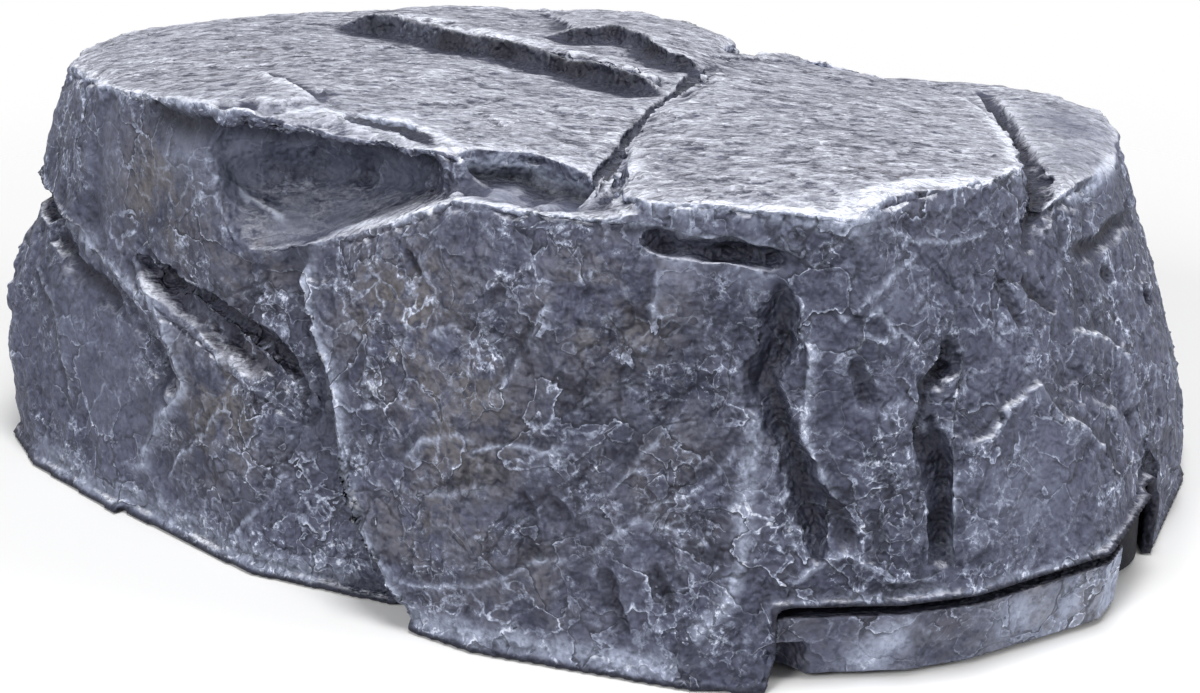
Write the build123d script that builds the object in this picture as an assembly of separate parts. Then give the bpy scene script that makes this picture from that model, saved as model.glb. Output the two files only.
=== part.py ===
from build123d import *
import os
from math import cos, radians, sin

# A hollow cast-resin garden rock that hides a door key in a tray behind its skirt.
# +X runs to the right along the front, +Y away from the front, +Z up.
# The origin is on the ground under the middle of the rock's box.  Millimetres.

# ---- the rock -----------------------------------------------------------------
LENGTH = 200.0
DEPTH = 140.0
HEIGHT = 71.0
# The corner points of the boulders below were read off a rock of this size.
READ_LENGTH = 200.0
READ_DEPTH = 140.0
READ_HEIGHT = 71.0

CRACK_DEPTH = 2.4
CRACK_WIDTH = 2.6
CRACK_OVERRUN = 4.0          # how far a crack's cutter stands out of the face

# ---- the hollow and its base plate ----------------------------------------------
BASE_RECESS = 1.2            # the plate's underside above the ground
BASE_THICKNESS = 2.4
BASE_CLEARANCE = 0.4         # the plate's edge to the shell
GASKET_THICKNESS = 1.0
LEDGE = 6.0                  # width of the ledge that the gasket seals on
PARTITION = 5.0              # shell between the hollow and the tray recess
CEILING = 5.0                # shell above the tray recess
BOSS_RADIUS = 5.2
BOSS_HEIGHT = 10.0
HOLLOW_TOP = 56.0
HOLLOW_SHOULDER = 44.0       # the hollow's height under the lower right-hand top
RIB_THICKNESS = 1.6
RIB_HEIGHT = 5.0
DRAIN_RADIUS = 2.5

# ---- the tray recess in the skirt -------------------------------------------------
PIVOT_X = 72.0               # where the pivot stands on a rock of the read size
PIVOT_Y = -24.0
RECESS_HEIGHT = 12.5
RECESS_RADIUS = 64.0         # from the pivot to the left-hand jamb
RUNNING_GAP = 0.8            # round the tray's edge
OPEN_ANGLE = 62.0            # the tray's swing, in degrees
STOP_PLAY = 0.5              # degrees left before the tray's end meets the right-hand jamb
BACK_BEARING = 148.0         # direction of the tray's rear wall from the pivot

# ---- the tray -------------------------------------------------------------------
TRAY_LIFT = 0.7              # underside of the tray above the ground
TRAY_HEIGHT = 9.7
TRAY_FLOOR = 1.6
TRAY_WALL = 2.0
DRUM_RADIUS = 13.0           # the tray's rounded end about the pivot
HUB_RADIUS = 7.0
LINER_THICKNESS = 1.2
LINER_CLEARANCE = 0.3

# The tray's rock front: its inner face, as points from the pivot, and its own size.
FRONT_LEFT = (-66.0, -34.5)
FRONT_BEND = (-22.0, -33.5)
FRONT_END_RADIUS = 14.0      # where that face meets the right-hand end face
FRONT_BEARING = -72.0        # direction of the right-hand end face
FRONT_SETBACK = 1.5          # behind the rock's own face
FRONT_HEIGHT = 9.9
NOTCH_WIDTH = 4.2            # the nail notch at the front's free end
NOTCH_HEIGHT = 5.6
NOTCH_BACKING = 4.0

# ---- fasteners and the pivot stack -------------------------------------------------
SCREW_RADIUS = 1.5
SCREW_HEAD_RADIUS = 2.9
SCREW_HEAD_HEIGHT = 1.5
SCREW_LENGTH = 9.0
PILOT_CLEARANCE = 0.05       # a thread's crest to the hole it holds in
INSERT_RADIUS = 2.6
INSERT_LENGTH = 7.0
DRIVE_RADIUS = 0.9
DRIVE_DEPTH = 1.0

SHOULDER_RADIUS = 2.5
SHOULDER_FIT = 0.05          # radial, shoulder in bush
PIVOT_HEAD_RADIUS = 4.2
PIVOT_HEAD_HEIGHT = 2.0
PIVOT_HEAD_LIFT = 0.4        # the head above the tray's underside
WASHER_FIT = 0.15            # radial, washers on the shoulder
WASHER_THICKNESS = 0.6
WASHER_RADIUS = 4.7
SPRING_HEIGHT = 0.8
SPRING_STOCK = 0.4           # thickness of the coned spring washer
BUSH_FLANGE = 0.8
BUSH_WALL = 1.0
END_PLAY = 0.1
THRUST_THICKNESS = 0.8
THRUST_RADIUS = 6.0
COUNTERBORE_GAP = 0.5

# ---- the catch ------------------------------------------------------------------
MAGNET_RADIUS = 3.0
MAGNET_THICKNESS = 2.5
KEEPER_THICKNESS = 1.2
CATCH_REACH = 34.0           # along the rear wall from the pivot
CATCH_HEIGHT = 6.0
CATCH_SEAT = 0.05            # glue gap round the magnet and the keeper
KEEPER_PAD = 1.4             # how much thicker the rear wall is behind the keeper

# ---- how the tray's front is fastened ------------------------------------------------
FRONT_SCREW_RADIUS = 1.25
FRONT_SCREW_HEAD_RADIUS = 2.4
FRONT_SCREW_HEAD_HEIGHT = 1.4
FRONT_SCREW_LENGTH = 8.0
FRONT_SCREW_HEIGHT = 6.4     # above the ground
FRONT_SCREW_REACHES = (22.0, 6.0, -12.0)   # from the bend, towards the free end

FAR = 90.0                   # reaches past the tray from the pivot in any direction


def on_rock(x, y, z=0.0):
    """A point read off a rock of the read size, at its place on this rock."""
    return Vector(x * LENGTH / READ_LENGTH, y * DEPTH / READ_DEPTH, z * HEIGHT / READ_HEIGHT)


# ---- the boulders, each the convex solid round its corners ----------------------------
LEFT_BOULDER = [
    (-91, 24, 0), (-74, -12, 0), (-52, -33, 0), (-30, -43, 0), (4, -44, 0), (30, -40, 0),
    (30, 60, 0), (8, 68, 0), (-34, 68, 0), (-66, 62, 0), (-84, 52, 0), (-92, 38, 0),
    (-91, 27, 43), (-78, 1, 39), (-66, -14, 34), (-91, 40, 42), (-82, 52, 40),
    (-88, 31, 61), (-81.5, 17, 64.5), (-73.5, 1, 67), (-66, -9, 68.5), (-57, -16, 70),
    (-54, -21, 70.5), (-45, -20.5, 71), (-37, -20, 70.5), (-24, -26, 69.5), (-16, -31, 68),
    (-6, -36, 67.5), (1, -45, 66.5), (14, 0, 67), (18, 14, 66.5),
    (-87, 40, 63), (-80, 47, 64.5), (-66, 53, 64.5), (-50, 56, 65.5), (-30, 59, 65.5),
    (8, 57, 65), (19, 51, 64), (26, 44, 62), (-30, 66, 40), (10, 64, 44),
]
LOWER_LEFT_BOULDER = [
    (-99, 20, 0), (-93, 7, 0), (-84, -3, 0), (-76, -12, 0), (-72, -13, 8), (-66, -14, 22),
    (-71, -8, 32), (-79, 2, 37), (-89, 19, 42), (-98.5, 21, 8), (-100, 22, 24),
    (-98.5, 25, 31), (-92, 30, 42), (-97, 36, 0), (-97, 38, 20), (-92, 40, 36),
    (-88, 50, 0), (-88, 50, 26), (-60, 20, 0), (-60, 20, 36),
]
FRONT_BOULDER = [
    (-42.5, -27, 49.5), (-36, -32, 55), (-21, -42, 64), (-9, -50, 65), (3, -55, 65.5),
    (24, -59, 66), (-42, -33, 42.5), (-39, -39, 30), (-36, -45, 16), (-31, -48.5, 6),
    (-26.5, -51.5, 0), (-17, -58, 0), (2, -64, 0), (14, -69, 0), (25, -70, 0), (28, -69, 14),
    (8, -65.5, 14), (-14, -58, 18), (26, -65, 40), (0, -60, 38), (-24, -48, 40),
    (24, -30, 0), (24, -30, 60), (-16, -24, 0), (-16, -24, 56),
]
RIGHT_BOULDER = [
    (22, -58, 64), (34, -60.5, 65.5), (41, -51, 66), (58, -41, 64), (64, -33, 63),
    (26, -66, 34), (42, -66.5, 30), (52, -62, 32), (70, -47, 31), (78, -37, 30),
    (26, -69, 10), (44, -68, 12), (55, -65, 12), (76, -52, 12), (86, -32, 11),
    (25, -67.5, 0), (45, -66, 0), (54, -63, 0), (75, -51, 0), (86, -29.5, 0),
    (16, -20, 0), (16, -20, 60), (16, 12, 0), (16, 12, 58), (60, 6, 56), (80, 0, 0),
]
END_BOULDER = [
    (66, -34, 60.5), (70, -28, 60), (77, -14, 57), (82, -6, 56.5), (86.5, 13, 55.5),
    (84.5, 22, 57.5), (75, 29, 59), (58, 33, 59.5), (70, -44, 31), (80, -30, 31),
    (86, -14, 38), (88.5, 10, 46), (94, 9, 29), (92, -14, 24), (97, 3, 17), (100, 9, 6),
    (95, -11, 8), (88, -26, 9), (86, -29, 0), (92, -14, 0), (98, 1, 0), (99, 14, 0),
    (96, 32, 0), (86, 47, 0), (64, 59, 0), (30, 66, 0), (98, 20, 18), (92, 34, 26),
    (77, 46, 36), (56, 52, 44), (40, 50, 56), (25, 54, 54), (22, 62, 30), (22, 65, 0),
    (16, 10, 0), (16, 10, 58), (40, -20, 0),
]
TOP_SLAB = [
    (3.5, -51, 67), (8, -55.5, 68), (24, -60, 68), (35, -61, 66.8), (42, -51.5, 68.8),
    (58, -41, 66.5), (64, -32, 65.5), (65, -12, 63.5), (64, 6, 62), (61, 21, 60.5),
    (52, 29, 61), (44, 34, 61.5), (33, 39, 62.5), (24, 32, 64), (17, 13, 67.3), (17, 0, 68),
    (10, -11, 68), (5.5, -31, 68), (8, -50, 46), (34, -56, 46), (58, -32, 46), (58, 16, 46),
    (24, 26, 46),
]
REAR_BOULDER = [
    (-56, 60, 0), (-38, 69, 0), (-8, 70, 0), (6, 66, 0), (-54, 62, 22), (-36, 68.5, 26),
    (-10, 69.5, 22), (-48, 58, 50), (-30, 62, 54), (-8, 62, 48), (-50, 30, 0), (0, 30, 0),
    (-46, 34, 50), (-6, 34, 48),
]
BOULDERS = (LEFT_BOULDER, LOWER_LEFT_BOULDER, FRONT_BOULDER, RIGHT_BOULDER, END_BOULDER,
            TOP_SLAB, REAR_BOULDER)

# ---- what weather took off the boulders, again as convex shapes --------------------------
UNDER_LIP_SCOOP = [
    (-58, -19, 66), (-46, -18, 67.5), (-34, -19, 67), (-22, -29, 66.5),
    (-54, -14, 58), (-44, -13, 58), (-32, -17, 58), (-22, -27, 60),
    (-52, -24, 50), (-42, -25, 51), (-30, -35, 58.5), (-18, -43, 65.5),
    (-58, -40, 64), (-46, -44, 60), (-22, -54, 64),
]
TOP_BOWL = [
    (-20, -40, 66.5), (-16, -36, 67), (-6, -36, 67), (2, -42, 66.5), (2, -49, 66), (-5, -51, 65.5),
    (-14, -47, 65.8), (-13, -42, 62.5), (-3, -46, 62.2),
    (-24, -41, 74), (-16, -33, 74), (6, -42, 74), (-4, -55, 74), (-16, -50, 74),
]
LEDGE_SLOT = [
    (6, -57.5, 63.4), (27, -62, 62.3), (27, -62, 59.6), (7, -58.5, 61.2), (7, -53.5, 62.6),
    (26, -57.5, 61.4), (6, -66, 66), (28, -70, 64), (28, -70, 58), (7, -66, 60),
]
SCOOPS = (UNDER_LIP_SCOOP, TOP_BOWL, LEDGE_SLOT)

# Each crack: the points of its line on the rock's face, and the way that face looks.
CRACKS = [
    ([(-33, 42, 65.5), (-18, 27, 66.3), (-4, 16, 66.6), (6, 7, 67), (14, 0, 67)], (0, 0, 1)),
    ([(19, 14, 67), (17, 0, 67.4), (10, -11, 67.4), (5, -31, 67), (2, -48, 66)], (-0.3, 0, 1)),
    ([(-70, -6, 41), (-61, -16, 37), (-50, -26, 32), (-41, -34, 26)], (-0.6, -0.8, 0.1)),
    ([(-91, 24, 42), (-80, 2, 38), (-70, -10, 31), (-64, -16, 23)], (-0.85, -0.5, 0.1)),
    ([(26, -64, 57), (27, -66, 46), (24, -67, 42), (27, -68, 32), (30, -68, 20)], (0, -1, 0.1)),
    ([(51, -56, 47), (48, -61, 36), (49, -63, 24), (50, -65, 15)], (0.45, -0.9, 0.1)),
    ([(66, -33, 62), (68, -22, 60.5), (66, -6, 61), (63, 14, 60.5)], (0.3, 0, 1)),
    ([(68, -46, 38), (78, -34, 30), (84, -28, 22)], (0.85, -0.5, 0)),
    ([(-60, 60, 50), (-56, 64, 26), (-60, 64, 6)], (-0.3, 1, 0)),
    ([(6, 66, 52), (10, 68, 30), (16, 67, 8)], (0.2, 1, 0)),
]

# ---- the hollow: its outline above the tray, its top, and its lower right-hand top ----------
HOLLOW_LOW = [
    (-83, 24), (-68, 2), (-46, -17), (-26, -30), (-6, -40), (20, -50), (46, -51), (64, -41),
    (76, -22), (82, 4), (82, 26), (64, 44), (34, 52), (4, 57), (-32, 58), (-62, 52), (-80, 42),
]
HOLLOW_HIGH = [
    (-76, 30), (-66, 12), (4, -28), (30, -45), (44, -38), (46, 4), (-8, 42), (-30, 48),
    (-62, 43), (-76, 38),
]
HOLLOW_RIGHT = [(62, -22), (74, -10), (76, 12), (62, 24)]

# ---- the base plate: its outline, screws, drain holes and the middles of its ribs --------------
BASE_OUTLINE = [
    (-85, 24), (-70, -3), (-48, -24), (-24, -37), (-2, -47), (20, -47), (70, -20), (84, -8),
    (88, 8), (86, 28), (66, 47), (38, 55), (8, 60), (-30, 61), (-62, 55), (-82, 43),
]
BASE_SCREWS = [(-75, 25), (-43, -19), (-1, -39), (79, 8), (36, 49), (-34, 55)]
DRAINS = [(-62, 30), (-20, 10), (20, 46)]
RIB_ROWS = (0, 20, 40)


def outline(points):
    """A plan face round points read off the rock."""
    corners = [on_rock(*point) for point in points]
    return make_face(Polyline(*[(corner.X, corner.Y) for corner in corners], close=True))


def prism(region, low, high):
    """A plan region raised between two heights."""
    return Pos(0, 0, low) * extrude(region, high - low)


def polar(radius, bearing):
    """A point at a distance and direction from the pivot."""
    return (radius * cos(radians(bearing)), radius * sin(radians(bearing)))


def at_pivot(shape):
    """A shape made round the pivot's axis, moved to its place on the rock."""
    pivot = on_rock(PIVOT_X, PIVOT_Y)
    return Pos(pivot.X, pivot.Y, 0) * shape


def ring(outer, inner, low, high):
    """A washer round the pivot's axis."""
    return at_pivot(prism(Circle(outer) - Circle(inner), low, high))


def rear_line(distance):
    """The two ends of a line that passes the pivot at a distance, along the tray's rear wall."""
    near = polar(distance, BACK_BEARING - 90)
    along = polar(FAR, BACK_BEARING)
    return near, (near[0] + along[0], near[1] + along[1])


def tray_region(shrink=0.0):
    """The pan's outline in plan, round the pivot: a fan with a round end."""
    round_end = DRUM_RADIUS - shrink
    near, far = rear_line(round_end)
    left, bend = (FRONT_LEFT[1] + shrink, FRONT_BEND[1] + shrink)
    fan = make_face(Polyline(
        (FRONT_LEFT[0], left), (FRONT_BEND[0], bend), polar(FRONT_END_RADIUS - shrink, FRONT_BEARING),
        near, far, (-FAR, far[1]), (-FAR, left), close=True))
    return (fan & Circle(RECESS_RADIUS - RUNNING_GAP - shrink)) + Circle(round_end)


def recess_region(grow=0.0):
    """The recess in plan, round the pivot: the pan, its gap, and all that the front sweeps."""
    round_end = DRUM_RADIUS + RUNNING_GAP + grow
    near, far = rear_line(round_end)
    jamb = polar(FAR, FRONT_BEARING + OPEN_ANGLE + STOP_PLAY)
    fan = make_face(Polyline(
        (0, 0), near, far, (-FAR, far[1]), (-FAR, -FAR), (FAR, -FAR), jamb, close=True))
    return (fan & Circle(RECESS_RADIUS + grow)) + Circle(round_end)


def base_region(shrink=0.0):
    """The base plate's outline in plan, clear of the tray recess and its partition."""
    edge = offset(outline(BASE_OUTLINE), -shrink, kind=Kind.INTERSECTION)
    return edge - at_pivot(recess_region(PARTITION + shrink))


# ---- sizes that follow from the ones above ------------------------------------------------
crack_spread = (CRACK_DEPTH + CRACK_OVERRUN) / CRACK_DEPTH
base_top = BASE_RECESS + BASE_THICKNESS
ledge_height = base_top + GASKET_THICKNESS
hollow_floor = RECESS_HEIGHT + CEILING
tray_top = TRAY_LIFT + TRAY_HEIGHT
tray_deck = TRAY_LIFT + TRAY_FLOOR
magnet_face = DRUM_RADIUS + RUNNING_GAP
keeper_face = DRUM_RADIUS - KEEPER_THICKNESS

pivot_head_low = TRAY_LIFT + PIVOT_HEAD_LIFT
pivot_head_top = pivot_head_low + PIVOT_HEAD_HEIGHT
washer_top = pivot_head_top + WASHER_THICKNESS
spring_top = washer_top + SPRING_HEIGHT
bush_low = spring_top + SHOULDER_FIT
bush_seat = bush_low + BUSH_FLANGE
hub_top = RECESS_HEIGHT - THRUST_THICKNESS - END_PLAY
bush_bore = SHOULDER_RADIUS + SHOULDER_FIT
bush_radius = bush_bore + BUSH_WALL
washer_bore = SHOULDER_RADIUS + WASHER_FIT
thread_hole = SCREW_RADIUS + PILOT_CLEARANCE


def block(corners):
    """The convex solid round points read off the rock."""
    return ConvexPolyhedron([on_rock(*corner) for corner in corners])


def rock_form():
    """The rock's outside, solid: the boulders grown together, less the scoops."""
    form = block(BOULDERS[0])
    for corners in BOULDERS[1:]:
        form += block(corners)
    for corners in SCOOPS:
        form -= block(corners)
    return form


def crack_cutters(line, facing):
    """V-shaped cutters along a crack, one for each run of its line."""
    outward = Vector(*facing).normalized()
    places = [on_rock(*point) for point in line]
    cutters = []
    for start, end in zip(places, places[1:]):
        side = (end - start).cross(outward).normalized() * (CRACK_WIDTH / 2 * crack_spread)
        corners = []
        for place in (start, end):
            mouth = place + outward * CRACK_OVERRUN
            corners += [mouth + side, mouth - side, place - outward * CRACK_DEPTH]
        cutters.append(ConvexPolyhedron(corners))
    return cutters


def at_base_screws(shape):
    """A shape repeated at every base screw."""
    places = [on_rock(*point) for point in BASE_SCREWS]
    return [Pos(place.X, place.Y, 0) * shape for place in places]


def hollow():
    """The space inside the shell, above the ledge and round the insert bosses."""
    low = [on_rock(*point) + Vector(0, 0, hollow_floor) for point in HOLLOW_LOW]
    high = [on_rock(x, y, HOLLOW_TOP) for x, y in HOLLOW_HIGH]
    right = [on_rock(x, y, HOLLOW_SHOULDER) for x, y in HOLLOW_RIGHT]
    space = ConvexPolyhedron(low + high + right)
    space += prism(base_region(LEDGE), ledge_height, hollow_floor)
    boss = prism(Circle(BOSS_RADIUS), ledge_height, ledge_height + BOSS_HEIGHT)
    for place in at_base_screws(boss):
        space -= place
    pivot_boss = prism(Circle(HUB_RADIUS), RECESS_HEIGHT, hollow_floor + INSERT_LENGTH)
    return space - at_pivot(pivot_boss)


def catch_disc(radius, thickness, face):
    """A disc on the catch's axis, its front face that far behind the pivot."""
    normal = polar(1, BACK_BEARING - 90)
    back = polar(face, BACK_BEARING - 90)
    along = polar(CATCH_REACH, BACK_BEARING)
    plane = Plane(origin=(back[0] + along[0], back[1] + along[1], CATCH_HEIGHT),
                  z_dir=(normal[0], normal[1], 0))
    return at_pivot(extrude(plane * Circle(radius), thickness))


def rock_shell(form):
    """The cast shell: rock outside, hollow inside, open to the base and to the tray."""
    shell = form - hollow()
    for line, facing in CRACKS:
        for cutter in crack_cutters(line, facing):
            shell -= cutter
    shell -= prism(base_region(-BASE_CLEARANCE), 0, ledge_height)
    shell -= at_pivot(prism(recess_region(), 0, RECESS_HEIGHT))
    for hole in at_base_screws(prism(Circle(INSERT_RADIUS), 0, ledge_height + INSERT_LENGTH)):
        shell -= hole
    shell -= at_pivot(prism(Circle(INSERT_RADIUS), 0, RECESS_HEIGHT + INSERT_LENGTH))
    return shell - catch_disc(MAGNET_RADIUS + CATCH_SEAT, MAGNET_THICKNESS, magnet_face)


def shell_inserts():
    """Threaded brass inserts in the ledge, one for each base screw."""
    tube = prism(Circle(INSERT_RADIUS) - Circle(thread_hole),
                 ledge_height, ledge_height + INSERT_LENGTH)
    return Compound(children=at_base_screws(tube))


def drive_socket(head):
    """A hexagon socket in the underside of a screw whose head starts at that height."""
    return prism(RegularPolygon(DRIVE_RADIUS, 6), head, head + DRIVE_DEPTH)


def countersink(base):
    """The cone of a countersunk head that is flush with the height base."""
    return Pos(0, 0, base) * Cone(SCREW_HEAD_RADIUS, SCREW_RADIUS, SCREW_HEAD_HEIGHT,
                                  align=(Align.CENTER, Align.CENTER, Align.MIN))


def base_screws():
    """The countersunk screws that hold the base plate."""
    shank = prism(Circle(SCREW_RADIUS), BASE_RECESS + SCREW_HEAD_HEIGHT, BASE_RECESS + SCREW_LENGTH)
    screw = countersink(BASE_RECESS) + shank - drive_socket(BASE_RECESS)
    return Compound(children=at_base_screws(screw))


def base_plate():
    """The moulded cover of the hollow, ribbed on top, with drain holes."""
    plate = prism(base_region(), BASE_RECESS, base_top)
    rib_zone = base_region(LEDGE + BASE_CLEARANCE)
    for disc in at_base_screws(Circle(BOSS_RADIUS + BASE_CLEARANCE)):
        rib_zone -= disc
    for row in RIB_ROWS:
        rib = Pos(0, on_rock(0, row).Y) * Rectangle(LENGTH, RIB_THICKNESS)
        plate += prism(rib & rib_zone, base_top, base_top + RIB_HEIGHT)
    for sink in at_base_screws(countersink(BASE_RECESS)):
        plate -= sink
    for hole in at_base_screws(prism(Circle(thread_hole), BASE_RECESS, base_top)):
        plate -= hole
    for point in DRAINS:
        drain = on_rock(*point)
        plate -= Pos(drain.X, drain.Y, 0) * extrude(Circle(DRAIN_RADIUS), base_top + RIB_HEIGHT)
    return plate


def base_gasket():
    """The foam ring between the plate and the ledge."""
    seal = base_region() - base_region(LEDGE)
    for disc in at_base_screws(Circle(BOSS_RADIUS)):
        seal += disc & base_region()
    for hole in at_base_screws(Circle(thread_hole)):
        seal -= hole
    return prism(seal, base_top, ledge_height)


def front_screw_planes():
    """Where the front's screws pass the inside of the pan's front wall, looking outwards."""
    bend = Vector(*FRONT_BEND)
    free_end = Vector(*FRONT_LEFT)
    right_end = Vector(*polar(FRONT_END_RADIUS, FRONT_BEARING))
    planes = []
    for reach in FRONT_SCREW_REACHES:
        along = (bend - free_end if reach > 0 else right_end - bend).normalized()
        outward = Vector(along.Y, -along.X)
        spot = bend - along * reach - outward * TRAY_WALL
        planes.append(Plane(origin=(spot.X, spot.Y, FRONT_SCREW_HEIGHT), z_dir=outward))
    return planes


def key_tray():
    """The moulded pan that swings about the pivot, with its hub and its keeper's seat."""
    pan = prism(tray_region(), TRAY_LIFT, tray_top)
    pan -= prism(tray_region(TRAY_WALL), tray_deck, tray_top)
    pan += prism(Circle(HUB_RADIUS), TRAY_LIFT, hub_top)
    pan -= prism(Circle(bush_radius + BUSH_WALL + COUNTERBORE_GAP), TRAY_LIFT, bush_seat)
    pan -= prism(Circle(bush_radius), TRAY_LIFT, hub_top)
    for plane in front_screw_planes():
        pan -= extrude(plane * Circle(FRONT_SCREW_RADIUS + PILOT_CLEARANCE), TRAY_WALL)
    pan = at_pivot(pan)
    pan += keeper_pad(CATCH_HEIGHT - TRAY_LIFT)
    return pan - catch_disc(MAGNET_RADIUS + CATCH_SEAT, KEEPER_THICKNESS, keeper_face)


def keeper_pad(radius):
    """The thicker piece of the pan's rear wall behind the keeper."""
    thickness = KEEPER_PAD + TRAY_WALL
    pad = catch_disc(radius, thickness, DRUM_RADIUS - thickness)
    return pad & at_pivot(prism(tray_region(), TRAY_LIFT, tray_top))


def tray_liner():
    """The foam mat on the pan's floor."""
    mat = tray_region(TRAY_WALL + LINER_CLEARANCE) - Circle(HUB_RADIUS + LINER_CLEARANCE)
    top = tray_deck + LINER_THICKNESS
    return at_pivot(prism(mat, tray_deck, top)) - keeper_pad(CATCH_HEIGHT - TRAY_LIFT)


def tray_front(form):
    """The cast rock front of the tray, cut from the rock's own face and set back a little."""
    free_radius = RECESS_RADIUS - RUNNING_GAP
    region = make_face(Polyline(
        FRONT_LEFT, FRONT_BEND, polar(FRONT_END_RADIUS, FRONT_BEARING), polar(FAR, FRONT_BEARING),
        (0, -FAR), (FRONT_LEFT[0], -FAR), close=True))
    region = (region & Circle(free_radius)) - Circle(DRUM_RADIUS)
    top = TRAY_LIFT + FRONT_HEIGHT
    front = (Pos(0, FRONT_SETBACK, 0) * form) & at_pivot(prism(region, TRAY_LIFT, top))
    notch = Pos(FRONT_LEFT[0], FRONT_LEFT[1] - NOTCH_BACKING) * Rectangle(
        -FRONT_LEFT[0], FAR, align=(Align.MIN, Align.MAX))
    notch -= Circle(free_radius - NOTCH_WIDTH)
    front -= at_pivot(prism(notch, TRAY_LIFT, TRAY_LIFT + NOTCH_HEIGHT))
    for plane in front_screw_planes():
        hole = extrude(plane * Circle(FRONT_SCREW_RADIUS + PILOT_CLEARANCE), FRONT_SCREW_LENGTH)
        front -= at_pivot(hole)
    return front


def front_screws():
    """The pan-head screws that hold the tray's front, from inside the pan."""
    screws = []
    for plane in front_screw_planes():
        shank = extrude(plane * Circle(FRONT_SCREW_RADIUS), FRONT_SCREW_LENGTH)
        head = extrude(plane * Circle(FRONT_SCREW_HEAD_RADIUS), -FRONT_SCREW_HEAD_HEIGHT)
        screws.append(at_pivot(shank + head))
    return Compound(children=screws)


def pivot_screw():
    """The shoulder screw that carries the tray, driven up into the shell."""
    screw = prism(Circle(PIVOT_HEAD_RADIUS), pivot_head_low, pivot_head_top)
    screw += prism(Circle(SHOULDER_RADIUS), pivot_head_top, RECESS_HEIGHT)
    screw += prism(Circle(SCREW_RADIUS), RECESS_HEIGHT, RECESS_HEIGHT + INSERT_LENGTH)
    return at_pivot(screw - drive_socket(pivot_head_low))


def spring_washer():
    """A coned washer that keeps the tray from rattling."""
    outer = PIVOT_HEAD_RADIUS
    cone = make_face(Polyline(
        (outer, washer_top), (outer, washer_top + SPRING_STOCK), (washer_bore, spring_top),
        (washer_bore, spring_top - SPRING_STOCK), close=True))
    return at_pivot(revolve(Plane.XZ * cone, Axis.Z))


def pivot_bush():
    """The flanged bush pressed into the tray's hub."""
    bush = prism(Circle(bush_radius), bush_seat, hub_top)
    bush += prism(Circle(bush_radius + BUSH_WALL), bush_low, bush_seat)
    return at_pivot(bush - prism(Circle(bush_bore), bush_low, hub_top))


form = rock_form()
nodes = {
    "rock_shell": rock_shell(form),
    "shell_inserts": shell_inserts(),
    "base_plate": base_plate(),
    "base_gasket": base_gasket(),
    "base_screws": base_screws(),
    "pivot_insert": ring(INSERT_RADIUS, thread_hole, RECESS_HEIGHT, RECESS_HEIGHT + INSERT_LENGTH),
    "pivot_screw": pivot_screw(),
    "lower_washer": ring(WASHER_RADIUS, washer_bore, pivot_head_top, washer_top),
    "spring_washer": spring_washer(),
    "thrust_washer": ring(THRUST_RADIUS, washer_bore, RECESS_HEIGHT - THRUST_THICKNESS,
                          RECESS_HEIGHT),
    "catch_magnet": catch_disc(MAGNET_RADIUS, MAGNET_THICKNESS, magnet_face),
    "key_tray": key_tray(),
    "pivot_bush": pivot_bush(),
    "tray_front": tray_front(form),
    "front_screws": front_screws(),
    "tray_liner": tray_liner(),
    "catch_keeper": catch_disc(MAGNET_RADIUS, KEEPER_THICKNESS, keeper_face),
}

os.makedirs("parts", exist_ok=True)
for name, shape in nodes.items():
    export_step(shape, f"parts/{name}.step")
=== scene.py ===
import math

import bmesh
import bpy
import numpy as np
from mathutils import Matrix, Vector, noise


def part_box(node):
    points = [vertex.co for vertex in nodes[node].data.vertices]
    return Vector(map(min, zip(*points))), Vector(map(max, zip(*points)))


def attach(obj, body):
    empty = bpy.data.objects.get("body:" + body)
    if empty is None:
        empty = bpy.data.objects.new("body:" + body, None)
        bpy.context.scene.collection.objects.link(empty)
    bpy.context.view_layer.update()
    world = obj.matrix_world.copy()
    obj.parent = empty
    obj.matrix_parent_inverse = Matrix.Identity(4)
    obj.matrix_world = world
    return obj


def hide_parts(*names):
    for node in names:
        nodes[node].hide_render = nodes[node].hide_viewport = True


# The looks of a hollow garden rock with a key tray.  Lengths are metres unless a name says mm.

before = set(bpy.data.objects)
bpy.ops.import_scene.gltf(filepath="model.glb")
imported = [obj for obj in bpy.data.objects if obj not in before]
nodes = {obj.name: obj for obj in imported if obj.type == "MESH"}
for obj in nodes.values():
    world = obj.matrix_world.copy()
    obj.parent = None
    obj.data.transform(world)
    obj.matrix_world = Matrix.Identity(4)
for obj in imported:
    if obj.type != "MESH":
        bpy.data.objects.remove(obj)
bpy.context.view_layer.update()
MM = 0.001

# ---- camera ---------------------------------------------------------------------------
CAMERA_PLACE = (0.001758, -0.388022, 0.180879)
CAMERA_TILT = 68.0
CAMERA_LENS = 78.0


def make_camera():
    """The camera that looks at the rock's front from a little above."""
    data = bpy.data.cameras.new("front_camera")
    data.lens = CAMERA_LENS
    data.sensor_width = 36.0
    data.clip_start = 0.01
    data.clip_end = 20.0
    camera = bpy.data.objects.new("front_camera", data)
    camera.location = CAMERA_PLACE
    camera.rotation_euler = (math.radians(CAMERA_TILT), 0.0, 0.0)
    bpy.context.collection.objects.link(camera)
    bpy.context.scene.camera = camera


make_camera()

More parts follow.
